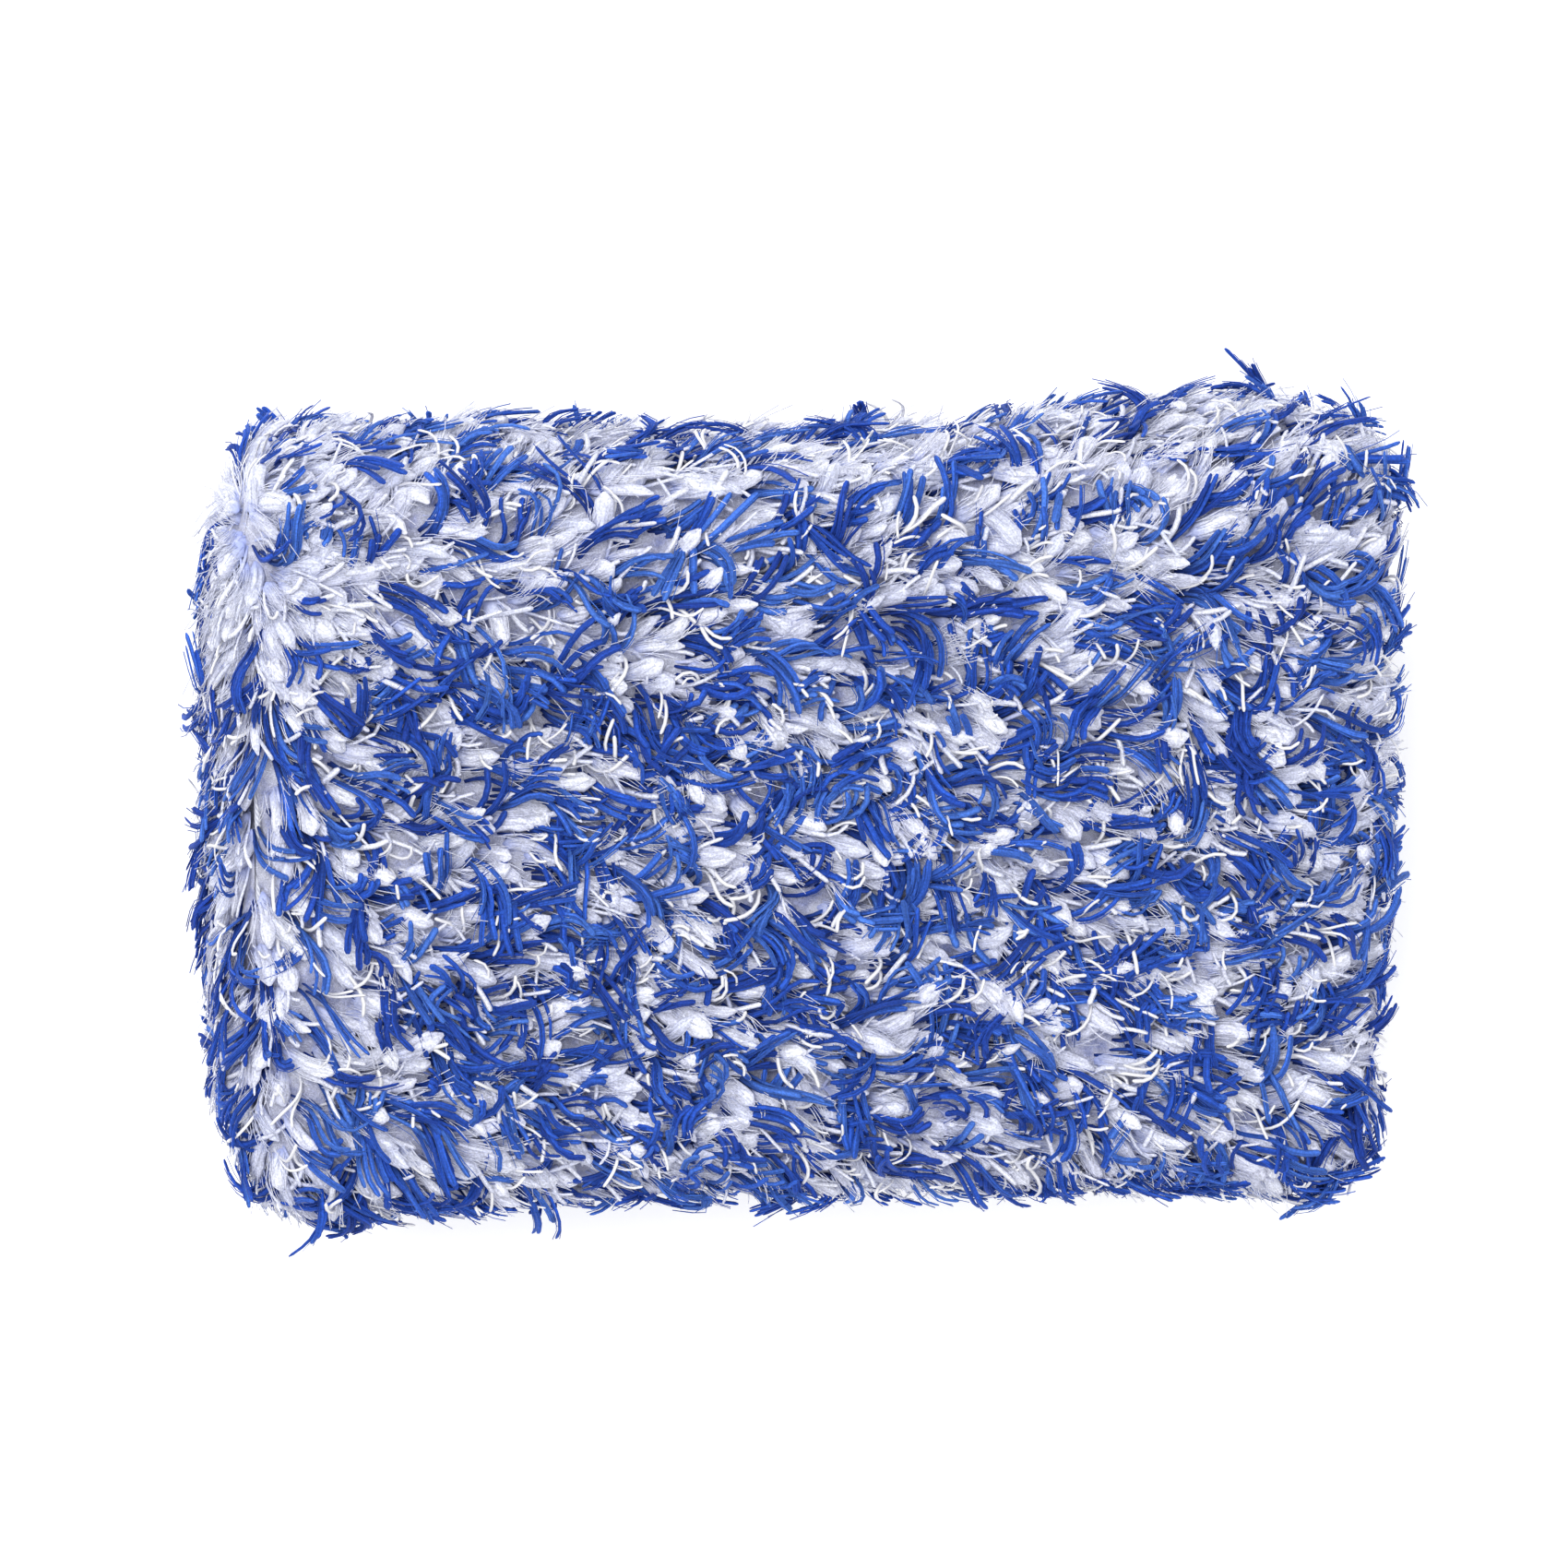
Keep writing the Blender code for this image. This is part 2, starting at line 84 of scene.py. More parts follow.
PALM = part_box("palm_plush_panel")
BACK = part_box("back_plush_panel")
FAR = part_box("far_side_gusset")
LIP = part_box("mouth_facing_palm")
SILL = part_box("mouth_facing_back")
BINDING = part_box("mouth_binding")
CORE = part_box("palm_sponge")
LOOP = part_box("hang_loop")
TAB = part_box("hang_loop_tab")
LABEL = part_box("care_label")
LABEL_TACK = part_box("care_label_tack")
RING_MOUTH_X = LIP[0].x

BINDING_WIDTH = 5 * MM
TOP_BINDING_WIDTH = 2.8 * MM

LOW, HIGH = PALM[0].copy(), PALM[1].copy()
LOW.z = BACK[0].z
MIDDLE = (LOW + HIGH) / 2
SIZE = HIGH - LOW

# Where the pile parts, and how far from there it needs more locks to hide its ground.
CROWN = np.array((LOW.x + 17 * MM, MIDDLE.y + 53 * MM, HIGH.z - GROUND_INSET))
CROWN_REACH = 24 * MM


# Each kind of strand: its length, how high it lies over the ground, how much it turns one way and then the
# other, how far tufts stray from the comb and yarns from their tuft, the gap between a tuft's yarns, and how
# closely the least tidy of them follow the ground past an edge.
BLUE_KIND = dict(length=(13 * MM, 22 * MM), height=(2.5 * MM, 6.5 * MM), curl=(1.5, 2.9), spread=math.radians(19),
                 straggle=math.radians(6), pitch=0.85 * MM, hug=(0.3, 1.0), loose=0.45, segments=8)
WHITE_KIND = dict(length=(9 * MM, 17 * MM), height=(2.0 * MM, 5.0 * MM), curl=(0.6, 1.2), spread=math.radians(20),
                  straggle=math.radians(14), pitch=1.3 * MM, hug=(0.3, 1.0), loose=0.12, segments=7)
PUFF_KIND = dict(length=(8 * MM, 14 * MM), height=(1.2 * MM, 4.6 * MM), curl=(0.5, 0.8), spread=math.radians(20),
                 straggle=0.0, pitch=0.0, hug=(0.6, 1.0), loose=0.0, segments=6)
BRIGHT_KIND = dict(length=(8 * MM, 16 * MM), height=(4.5 * MM, 7.0 * MM), curl=(2.0, 2.6), spread=math.radians(30),
                   straggle=math.radians(22), pitch=0.8 * MM, hug=(0.2, 1.0), loose=0.15, segments=9)


# ---------------------------------------------------------------- meshes

def mesh_object(name, vertices, faces, attributes=None):
    """An object from arrays of vertices and of triangles or quads, with values or vectors for each vertex."""
    faces = np.asarray(faces, np.int32)
    mesh = bpy.data.meshes.new(name)
    mesh.vertices.add(len(vertices))
    mesh.vertices.foreach_set("co", np.asarray(vertices, np.float32).ravel())
    mesh.loops.add(faces.size)
    mesh.loops.foreach_set("vertex_index", faces.ravel())
    mesh.polygons.add(len(faces))
    mesh.polygons.foreach_set("loop_start", np.arange(0, faces.size, faces.shape[1], dtype=np.int32))
    mesh.update(calc_edges=True)
    mesh.shade_smooth()
    for key, values in (attributes or {}).items():
        values = np.asarray(values, np.float32)
        kind, field = ("FLOAT", "value") if values.ndim == 1 else ("FLOAT_VECTOR", "vector")
        mesh.attributes.new(key, kind, "POINT").data.foreach_set(field, values.ravel())
    obj = bpy.data.objects.new(name, mesh)
    bpy.context.scene.collection.objects.link(obj)
    return obj


def box_object(name, low, high):
    size, middle = Vector(high) - Vector(low), (Vector(high) + Vector(low)) / 2
    bm = bmesh.new()
    bmesh.ops.create_cube(bm, size=1)
    bmesh.ops.scale(bm, vec=size, verts=bm.verts)
    bmesh.ops.translate(bm, vec=middle, verts=bm.verts)
    mesh = bpy.data.meshes.new(name)
    bm.to_mesh(mesh)
    bm.free()
    obj = bpy.data.objects.new(name, mesh)
    bpy.context.scene.collection.objects.link(obj)
    return obj


def apply_modifiers(obj):
    """Puts what the modifiers make into the object's own mesh."""
    graph = bpy.context.evaluated_depsgraph_get()
    graph.update()
    mesh = bpy.data.meshes.new_from_object(obj.evaluated_get(graph), depsgraph=graph)
    obj.modifiers.clear()
    obj.data = mesh


def remove(obj):
    bpy.data.objects.remove(obj, do_unlink=True)


def coordinates(obj):
    values = np.empty(len(obj.data.vertices) * 3, np.float32)
    obj.data.vertices.foreach_get("co", values)
    return values.reshape(-1, 3).astype(float)


def set_coordinates(obj, values):
    obj.data.vertices.foreach_set("co", np.asarray(values, np.float32).ravel())
    obj.data.update()


def smooth(value):
    """0 below 0, 1 above 1, and an even S between."""
    share = np.clip(value, 0, 1)
    return share * share * (3 - 2 * share)


def unit(vectors):
    return vectors / np.maximum(np.linalg.norm(vectors, axis=-1, keepdims=True), 1e-12)


# ---------------------------------------------------------------- ground form

def outline_shift(x, y):
    """How the sewn outline strays from a true rectangle, as a shift of each side, in metres."""
    u, v = x / (SIZE.x / 2), y / (SIZE.y / 2)
    shift_x = -2.5 * MM * np.clip(-u, 0, 1) * np.clip(-v, 0, 1)
    shift_y = np.where(u > 0, 2.5 * MM, 1.0 * MM) * np.clip(v, 0, 1) * u
    near_mouth_corner = np.clip(u - 0.55, 0, 1) * np.clip(-v - 0.45, 0, 1)
    near_finger_corner = np.clip(-u - 0.6, 0, 1) * np.clip(-v - 0.5, 0, 1)
    far_mouth_corner = np.clip(u - 0.7, 0, 1) * np.clip(v - 0.5, 0, 1)
    shift_x = shift_x - 22 * MM * near_mouth_corner + 26 * MM * near_finger_corner - 18 * MM * far_mouth_corner
    shift_y = shift_y + 8 * MM * near_finger_corner
    return shift_x, shift_y


def ground_block():
    """The closed soft block under the pile: a rounded box of the CAD's size less the pile, as a grid."""
    low = LOW + Vector((1, 1, 0)) * GROUND_INSET + Vector((0, 0, GROUND_OVER_FLOOR))
    high = HIGH - Vector((0, 1, 1)) * GROUND_INSET - Vector((LIP_INSET, 0, 0))
    block = box_object("ground_block", low, high)
    bm = bmesh.new()
    bm.from_mesh(block.data)
    upright = [e for e in bm.edges if abs(e.verts[0].co.z - e.verts[1].co.z) > MM]
    bmesh.ops.bevel(bm, geom=upright, offset=GROUND_CORNER, segments=6, profile=0.5, affect="EDGES")
    rims = [e for e in bm.edges if abs(e.verts[0].co.z - e.verts[1].co.z) < MM
            and len({round(f.normal.z, 2) for f in e.link_faces}) > 1]
    bmesh.ops.bevel(bm, geom=rims, offset=GROUND_EDGE, segments=5, profile=0.5, affect="EDGES")
    bm.to_mesh(block.data)
    bm.free()
    remesh = block.modifiers.new("grid", "REMESH")
    remesh.mode = "VOXEL"
    remesh.voxel_size = VOXEL
    apply_modifiers(block)
    return block


def swell(block):
    """Blows the block up a little as cloth, and caps how far each point moves."""
    before = coordinates(block)
    cloth = block.modifiers.new("swell", "CLOTH")
    cloth.settings.quality = 5
    cloth.settings.use_pressure = True
    cloth.settings.uniform_pressure_force = 4
    cloth.settings.effector_weights.gravity = 0
    cloth.settings.tension_stiffness = 15
    cloth.settings.bending_stiffness = 2
    scene = bpy.context.scene
    cloth.point_cache.frame_start, cloth.point_cache.frame_end = 1, 20
    for step in range(1, 21):
        scene.frame_set(step)
    apply_modifiers(block)
    scene.frame_set(1)
    moved = coordinates(block) - before
    length = np.linalg.norm(moved, axis=1)
    moved *= (np.minimum(length, SWELL_CAP) / np.maximum(length, 1e-9))[:, None]
    set_coordinates(block, before + moved)


def settle(block):
    """Shapes the swelled block: the stray outline, the shorter back side at the mouth, the flat resting face."""
    places = coordinates(block)
    low = np.array(LOW) + GROUND_REACH * np.array((1, 1, 0)) + np.array((0, 0, GROUND_OVER_FLOOR))
    high = np.array(HIGH) - (LIP_INSET, GROUND_REACH, GROUND_REACH)
    shift_x, shift_y = outline_shift(places[:, 0], places[:, 1])
    places[:, 0] += shift_x
    places[:, 1] += shift_y
    level = (places[:, 2] - SILL[1].z) / (LIP[0].z - SILL[1].z)
    overhang = (PALM[1].x - BACK[1].x + GROUND_INSET - LIP_INSET) * (1 - smooth(level))
    near_mouth = smooth((places[:, 0] - (RING_MOUTH_X - 20 * MM)) / (20 * MM))
    places[:, 0] -= overhang * near_mouth
    places = np.clip(places, low, high)
    set_coordinates(block, places)
    subdivide = block.modifiers.new("finer", "SUBSURF")
    subdivide.levels = subdivide.render_levels = 1
    apply_modifiers(block)


class Ground:
    """The block's distance field on a grid: how far a point is outside it, and which way is out."""

    STEP = 4 * MM
    MARGIN = 28 * MM

    def __init__(self, block):
        graph = bpy.context.evaluated_depsgraph_get()
        tree = BVHTree.FromObject(block, graph)
        self.origin = np.array(LOW) - self.MARGIN
        self.count = np.ceil((np.array(SIZE) + 2 * self.MARGIN) / self.STEP).astype(int) + 1
        values = np.empty(tuple(self.count))
        for index in np.ndindex(*self.count):
            point = Vector(self.origin + np.array(index) * self.STEP)
            nearest, normal, _, distance = tree.find_nearest(point)
            values[index] = math.copysign(distance, (point - nearest).dot(normal))
        self.values = values

    def distance(self, points):
        place = (points - self.origin) / self.STEP
        cell = np.clip(np.floor(place).astype(int), 0, self.count - 2)
        part = np.clip(place - cell, 0, 1)
        total = np.zeros(points.shape[:-1])
        for corner in np.ndindex(2, 2, 2):
            weight = np.prod(np.where(corner, part, 1 - part), axis=-1)
            i, j, k = (cell[..., axis] + corner[axis] for axis in range(3))
            total += weight * self.values[i, j, k]
        return total

    def outwards(self, points):
        reach = 2 * MM
        sides = []
        for axis in range(3):
            offset = np.zeros(3)
            offset[axis] = reach
            sides.append(self.distance(points + offset) - self.distance(points - offset))
        return unit(np.stack(sides, axis=-1))


# ---------------------------------------------------------------- where the pile grows

def scatter(block, spacing, rng):
    """Random points spread evenly on the block: one in each cell, of the given spacing, that it passes through."""
    mesh = block.data
    mesh.calc_loop_triangles()
    places = coordinates(block)
    corners = np.empty(len(mesh.loop_triangles) * 3, np.int32)
    mesh.loop_triangles.foreach_get("vertices", corners)
    a, b, c = (places[corners.reshape(-1, 3)[:, i]] for i in range(3))
    areas = np.linalg.norm(np.cross(b - a, c - a), axis=1) / 2
    count = int(SAMPLES_PER_CELL * areas.sum() / spacing ** 2)
    chosen = rng.choice(len(areas), count, p=areas / areas.sum())
    r1, r2 = np.sqrt(rng.random((count, 1))), rng.random((count, 1))
    points = (1 - r1) * a[chosen] + r1 * (1 - r2) * b[chosen] + r1 * r2 * c[chosen]
    _, first = np.unique(np.floor(points / spacing).astype(int), axis=0, return_index=True)
    points = points[np.sort(first)]
    return points[outside_mouth(points)]


def outside_mouth(points):
    """True where the pile may grow, which is not in the mouth."""
    beside = np.abs(points[:, 1]) < BINDING[1].y
    level = (points[:, 2] > SILL[1].z) & (points[:, 2] < LIP[0].z)
    return ~((points[:, 0] > RING_MOUTH_X) & beside & level)


def drift(points, size, seed=0.0):
    """Smooth noise vectors, from about -0.5 to 0.5, that change over the given size."""
    shift = Vector((seed, -seed, 2 * seed))
    return np.array([noise.noise_vector(Vector(p) / size + shift) for p in points]) * 0.5


def comb_direction(points, outwards, rng, spread):
    """Which way the pile lies: to the mouth end and a little near on the palm, and its own way at each side."""
    u, v = points[:, 0] / (SIZE.x / 2), points[:, 1] / (SIZE.y / 2)
    zero = np.zeros(len(points))
    at_far = smooth((v - 0.45) / 0.4)
    at_near = smooth((-v - 0.6) / 0.3)
    at_finger = smooth((-u - 0.70) / 0.26)
    at_finger_edge = smooth((-u - 0.84) / 0.14)
    at_corner = at_finger * smooth((v - 0.75) / 0.3)
    swirl = drift(points, 30 * MM) * (1 - 0.7 * at_finger)[:, None]
    field = np.stack([
        1 + 1.2 * swirl[:, 0] - 1.4 * at_finger_edge - 0.5 * at_corner,
        -0.2 + 1.7 * swirl[:, 1] + (0.85 + 0.7 * smooth((u - 0.5) / 0.3)) * at_far - 0.5 * at_near - 1.0 * at_finger + 1.7 * at_corner,
        zero], axis=1)
    up = rng.uniform(-0.6, 1.1, len(points))
    away_y = np.sign(points[:, 1]) * smooth((np.abs(points[:, 1]) - BINDING[1].y + 12 * MM) / (12 * MM))
    away_z = np.sign(points[:, 2] - (SILL[1].z + LIP[0].z) / 2) * rng.uniform(-0.7, 1.0, len(points))
    toward = np.clip(outwards, 0, 1)
    against = np.clip(-outwards, 0, 1)
    field[:, 2] += up * (toward[:, 1] - 0.1 * against[:, 1]) - 0.5 * against[:, 0]
    at_mouth = toward[:, 0][:, None] * smooth((u - 0.7) / 0.2)[:, None]
    mouth_way = np.stack([zero + 0.3, away_y, away_z], axis=1)
    field = field * (1 - at_mouth) + mouth_way * at_mouth
    angle = rng.normal(0, spread, len(points))
    side = np.cross(outwards, field)
    return unit(field * np.cos(angle)[:, None] + side * np.sin(angle)[:, None])


# ---------------------------------------------------------------- strands

def grow(ground, roots, comb, lengths, heights, curls, hug, segments, lift):
    """Centrelines combed over the ground. Each rises to its own height, turns by its curl, and then either
    follows the ground (hug 1) or flies on straight over an edge (hug 0). Returns count x points x 3."""
    step = (lengths / segments)[:, None]
    place = roots.copy()
    out = ground.outwards(place)
    heading = unit(comb - out * np.sum(comb * out, axis=1, keepdims=True))
    direction = unit(heading + out * lift[:, None])
    line = [place.copy()]
    for k in range(segments):
        share = k / segments
        out = ground.outwards(place)
        bend = (curls[:, 0] + curls[:, 1] * math.sin(2 * math.pi * share))[:, None] / segments
        heading = unit(heading + np.cross(out, heading) * bend)
        heading = unit(heading - out * np.sum(heading * out, axis=1, keepdims=True) * hug[:, None])
        wanted = heights * smooth(share * 2.2 + 0.15)
        error = (wanted - ground.distance(place)) / (4 * MM)
        error = np.where(error > 0, error, error * hug)
        aim = unit(heading + out * np.clip(error, -0.9, 1.4)[:, None])
        direction = unit(direction * 0.45 + aim * 0.55)
        place = place + direction * step
        place[:, 2] = np.maximum(place[:, 2], LOW.z + 0.6 * MM)
        line.append(place.copy())
    return np.stack(line, axis=1)


def line_frames(lines, ground):
    """Two directions across each centreline: one lying flat on the ground, and one standing off it."""
    tangent = unit(np.gradient(lines, axis=1))
    out = ground.outwards(lines.reshape(-1, 3)).reshape(lines.shape)
    across = unit(np.cross(tangent, out) + 1e-6)
    return across, unit(np.cross(across, tangent))


def tubes(lines, across, over, width, thickness, sides):
    """Closed tubes round the centrelines. width and thickness are arrays of count x points."""
    count, points = lines.shape[:2]
    angles = 2 * math.pi * np.arange(sides) / sides
    ring = (np.cos(angles)[:, None] * across[:, :, None] * width[:, :, None, None] / 2
            + np.sin(angles)[:, None] * over[:, :, None] * thickness[:, :, None, None] / 2)
    vertices = (lines[:, :, None] + ring).reshape(-1, 3)
    first = (np.arange(count) * points * sides)[:, None, None]
    row = (np.arange(points - 1) * sides)[None, :, None]
    column = np.arange(sides)[None, None, :]
    following = (column + 1) % sides
    base = first + row
    quads = np.stack([base + column, base + following,
                      base + sides + following, base + sides + column], axis=-1).reshape(-1, 4)
    triangles = np.concatenate([quads[:, [0, 1, 2]], quads[:, [0, 2, 3]]])
    fan = np.arange(1, sides - 1)
    start = first[:, 0] + np.zeros(sides - 2, int)
    start_cap = np.stack([start, start + fan + 1, start + fan], axis=-1).reshape(-1, 3)
    last = start + (points - 1) * sides
    end_cap = np.stack([last, last + fan, last + fan + 1], axis=-1).reshape(-1, 3)
    return vertices, np.concatenate([triangles, start_cap, end_cap])


def resample(lines, begin, end):
    """Each centreline cut to a share of its length, with as many points as before. Past 1 it runs on straight."""
    points = lines.shape[1]
    at = (begin + (end - begin) * np.linspace(0, 1, points)[None]) * (points - 1)
    lower = np.clip(np.floor(at).astype(int), 0, points - 2)
    part = (at - lower)[..., None]
    rows = np.arange(len(lines))[:, None]
    return lines[rows, lower] * (1 - part) + lines[rows, lower + 1] * part


class Pile:
    """One kind of strand, gathered by the plush piece that it grows on, until it is made into objects."""

    def __init__(self):
        self.parts = {}

    def add(self, lines, across, over, width, thickness, sides, tone):
        """Adds one tube for each centreline. tone is each strand's own shade, from 0 to 1."""
        press_back(lines)
        clear = ~np.any(in_mouth(lines), axis=1)
        names = plush_piece(lines[:, 0])
        angles = 2 * math.pi * np.arange(sides) / sides
        for name in sorted(set(names)):
            rows = (names == name) & clear
            vertices, faces = tubes(lines[rows], across[rows], over[rows], width[rows], thickness[rows], sides)
            vertices[:, 2] = np.maximum(vertices[:, 2], LOW.z)
            points = lines.shape[1]
            strand = np.empty((rows.sum(), points, sides, 3))
            strand[..., 0] = np.cos(angles)
            strand[..., 1] = np.sin(angles)
            strand[..., 2] = np.linspace(0, 1, points)[None, :, None]
            tones = np.repeat(tone[rows], points * sides)
            self.parts.setdefault(name, []).append((vertices, faces, strand.reshape(-1, 3), tones))

    def build(self, prefix, material, slot):
        for name, parts in self.parts.items():
            offsets = np.cumsum([0] + [len(p[0]) for p in parts])
            obj = mesh_object(
                prefix + name,
                np.concatenate([p[0] for p in parts]),
                np.concatenate([p[1] + offset for p, offset in zip(parts, offsets)]),
                {"strand": np.concatenate([p[2] for p in parts]), "tone": np.concatenate([p[3] for p in parts])},
            )
            obj.data.materials.append(material)
            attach(obj, "mitt")


def plush_piece(roots):
    """The name of the plush piece that each root stands on, from its place."""
    names = np.full(len(roots), "palm", dtype="<U12")
    side = roots[:, 2] < PALM[0].z
    names[side] = np.where(roots[side, 1] > 0, "far_side", "near_side")
    names[side & (roots[:, 0] < FAR[0].x)] = "finger_end"
    names[side & (roots[:, 0] > FAR[1].x)] = "mouth"
    names[roots[:, 2] < BACK[1].z] = "back"
    return names


def in_mouth(points):
    """True in the mouth's opening, inside the binding, where no pile may lie."""
    x, y, z = points[..., 0], points[..., 1], points[..., 2]
    return ((x > RING_MOUTH_X - 6 * MM) & (np.abs(y) < BINDING[1].y - BINDING_WIDTH)
            & (z > BINDING[0].z + BINDING_WIDTH) & (z < BINDING[1].z - TOP_BINDING_WIDTH))


def draw_in(lines, loose):
    """Shortens what stands out past the four upright faces, apart from loose tufts, which stay as spikes."""
    for axis, trim, kept in ((0, END_TRIM, END_KEPT), (1, SIDE_TRIM, SIDE_KEPT)):
        share = np.where(loose, (1 + kept) / 2, kept)[:, None]
        for limit, sign in ((HIGH[axis] - trim, 1), (LOW[axis] + trim, -1)):
            past = np.maximum((lines[..., axis] - limit) * sign, 0)
            lines[..., axis] -= sign * past * (1 - share)


def press_back(lines):
    """Presses the pile flat behind the hanging loop and the label, and out of their way."""
    x, y, z = lines[..., 0], lines[..., 1], lines[..., 2]
    margin = 2 * MM
    beside = (((y > TAB[0].y - margin) & (y < LOOP[1].y + margin))
              | ((y > LABEL[0].y - margin) & (y < LABEL_TACK[1].y + margin)))
    behind = beside & (z < LOOP[1].z + margin)
    limit = BACK[1].x - 0.8 * MM
    lines[..., 0] = np.where(behind & (x > limit), limit, x)


# ---------------------------------------------------------------- kinds of pile

def yarn_lines(ground, roots, members, rng, kind):
    """Centrelines for tufts: each root grows its members, which share a way to lie and part a little.
    Returns the lines with their two side directions and a tone for each."""
    out = ground.outwards(roots)
    comb = comb_direction(roots, out, rng, kind["spread"])
    tufts = len(roots)
    tuft_curl = rng.normal(0, 1, (tufts, 2)) * kind["curl"]
    tuft_length = rng.uniform(*kind["length"], tufts)
    tuft_height = rng.uniform(*kind["height"], tufts)
    tuft_tone = rng.random(tufts)
    loose = rng.random(tufts) < kind["loose"]
    tuft_hug = np.where(loose, 0.05, rng.uniform(*kind["hug"], tufts))
    owner = np.repeat(np.arange(tufts), members)
    count = len(owner)
    turn = rng.normal(0, kind["straggle"], count)[:, None]
    sideways = np.cross(out[owner], comb[owner])
    way = comb[owner] * np.cos(turn) + sideways * np.sin(turn)
    rank = np.tile(np.arange(members) - (members - 1) / 2, tufts)[:, None]
    start = (roots[owner] + sideways * (rank * kind["pitch"] + rng.normal(0, 0.3 * MM, (count, 1)))
             + comb[owner] * rng.normal(0, 1.2 * MM, (count, 1)))
    lines = grow(
        ground, start, way,
        tuft_length[owner] * rng.uniform(0.75, 1.1, count),
        tuft_height[owner] + rng.normal(0, 0.5 * MM, count),
        tuft_curl[owner] + rng.normal(0, 2 * kind["straggle"], (count, 2)),
        tuft_hug[owner], kind["segments"], rng.uniform(0.2, 1.2, count))
    draw_in(lines, loose[owner])
    across, over = line_frames(lines, ground)
    tone = np.clip(tuft_tone[owner] + rng.normal(0, 0.15, count), 0, 1)
    return lines, across, over, tone


def add_fibres(pile, lines, across, over, tone, rng, number, width, reach, spread, share_from=0.0):
    """Fine loose fibres along each strand, which part from it towards the tip."""
    places = np.linspace(0, lines.shape[1] - 1, 5).astype(int)
    share = np.linspace(0, 1, lines.shape[1])[None, :, None]
    for _ in range(number):
        count = len(lines)
        begin = rng.uniform(share_from, share_from + 0.3, (count, 1))
        end = np.minimum(begin + rng.uniform(0.35, 0.8, (count, 1)), 1.08)
        offset = rng.uniform(-0.5, 0.5, (count, 1, 1)) * reach
        flare = rng.normal(0, spread, (count, 1, 1)) * share ** 2
        rise = np.abs(rng.normal(0, 0.6 * spread, (count, 1, 1))) * share ** 2
        fibre = resample(lines + across * (offset + flare) + over * (0.25 * reach + rise), begin, end)
        fibre = fibre[:, places]
        fibre[..., 2] = np.maximum(fibre[..., 2], LOW.z + 0.3 * MM)
        thin = width * rng.uniform(0.7, 1.3, (count, 1)) * np.ones((1, len(places)))
        pile.add(fibre, across[:, places], over[:, places], thin, thin, 3, tone)


def cut_ends(lines):
    """The centrelines with their last points drawn together, so that a yarn ends bluntly."""
    points = lines.shape[1]
    share = np.append(np.linspace(0, 0.96, points - 1), 1.0)
    at = share * (points - 1)
    lower = np.clip(np.floor(at).astype(int), 0, points - 2)
    part = (at - lower)[None, :, None]
    return lines[:, lower] * (1 - part) + lines[:, lower + 1] * part


def cut_yarn(points):
    """The width profile of a cut yarn: a little thinner at its root, and blunt at its tip."""
    profile = 0.72 + 0.28 * smooth(np.linspace(0, 1, points) * 2.5)
    profile[-1] *= 0.55
    return profile[None]


def sparse_below(roots, rng):
    """Leaves out some of the roots under the mitt, where the pile is pressed flat."""
    below = roots[:, 2] < LOW.z + 8 * MM
    return roots[~below | (rng.random(len(roots)) < 0.55)]


def blue_tufts(ground, block, rng):
    roots = sparse_below(scatter(block, 5.7 * MM, rng), rng)
    patch = drift(roots, 10 * MM, 5.0)[:, 0]
    v, u = roots[:, 1] / (SIZE.y / 2), roots[:, 0] / (SIZE.x / 2)
    bare = 0.20 + 0.36 * smooth((v - 0.55) / 0.25) + 0.13 * smooth(-u * 2.5 - 1.2) - 0.4 * patch
    roots = roots[rng.random(len(roots)) > bare]
    lines, across, over, tone = yarn_lines(ground, roots, 4, rng, BLUE_KIND)
    pile = Pile()
    width = rng.uniform(0.65, 1.7, (len(lines), 1)) * MM * cut_yarn(lines.shape[1])
    pile.add(cut_ends(lines), across, over, width, width * 0.5, 5, tone)
    add_fibres(pile, lines, across, over, tone, rng, 2, 0.2 * MM, 1.5 * MM, 0.8 * MM, 0.1)
    return pile


def thicker_at_crown(roots, block, rng):
    """The roots, and more of them where the pile parts and would leave its ground bare."""
    extra = scatter(block, 3.4 * MM, rng)
    near = smooth(1.2 - np.linalg.norm(extra - CROWN, axis=1) / CROWN_REACH)
    return np.concatenate([roots, extra[rng.random(len(extra)) < near]])


def white_locks(ground, block, rng):
    roots = thicker_at_crown(sparse_below(scatter(block, 5.5 * MM, rng), rng), block, rng)
    pile = Pile()
    lines, across, over, tone = yarn_lines(ground, roots, 1, rng, PUFF_KIND)
    share = np.linspace(0, 1, lines.shape[1])[None]
    body = np.sqrt(np.clip(1 - (2 * share - 1) ** 4, 0.03, 1))
    width = rng.uniform(2.4, 5.0, (len(lines), 1)) * MM * body * rng.uniform(0.85, 1.15, lines.shape[:2])
    pile.add(lines, across, over, width, width * 0.6, 7, tone)
    add_fibres(pile, lines, across, over, tone, rng, 12, 0.2 * MM, 5.2 * MM, 2.2 * MM)
    lines, across, over, tone = yarn_lines(ground, roots, 1, rng, WHITE_KIND)
    width = rng.uniform(0.6, 1.3, (len(lines), 1)) * MM * cut_yarn(lines.shape[1])
    pile.add(cut_ends(lines), across, over, width, width * 0.6, 4, tone)
    return pile


def white_yarns(ground, block, rng):
    """The bright thin yarns that curl on top of the rest."""
    roots = sparse_below(scatter(block, 9.8 * MM, rng), rng)
    lines, across, over, tone = yarn_lines(ground, roots, 2, rng, BRIGHT_KIND)
    pile = Pile()
    width = rng.uniform(0.5, 0.9, (len(lines), 1)) * MM * cut_yarn(lines.shape[1])
    pile.add(cut_ends(lines), across, over, width, width * 0.7, 4, tone)
    return pile


# ---------------------------------------------------------------- materials

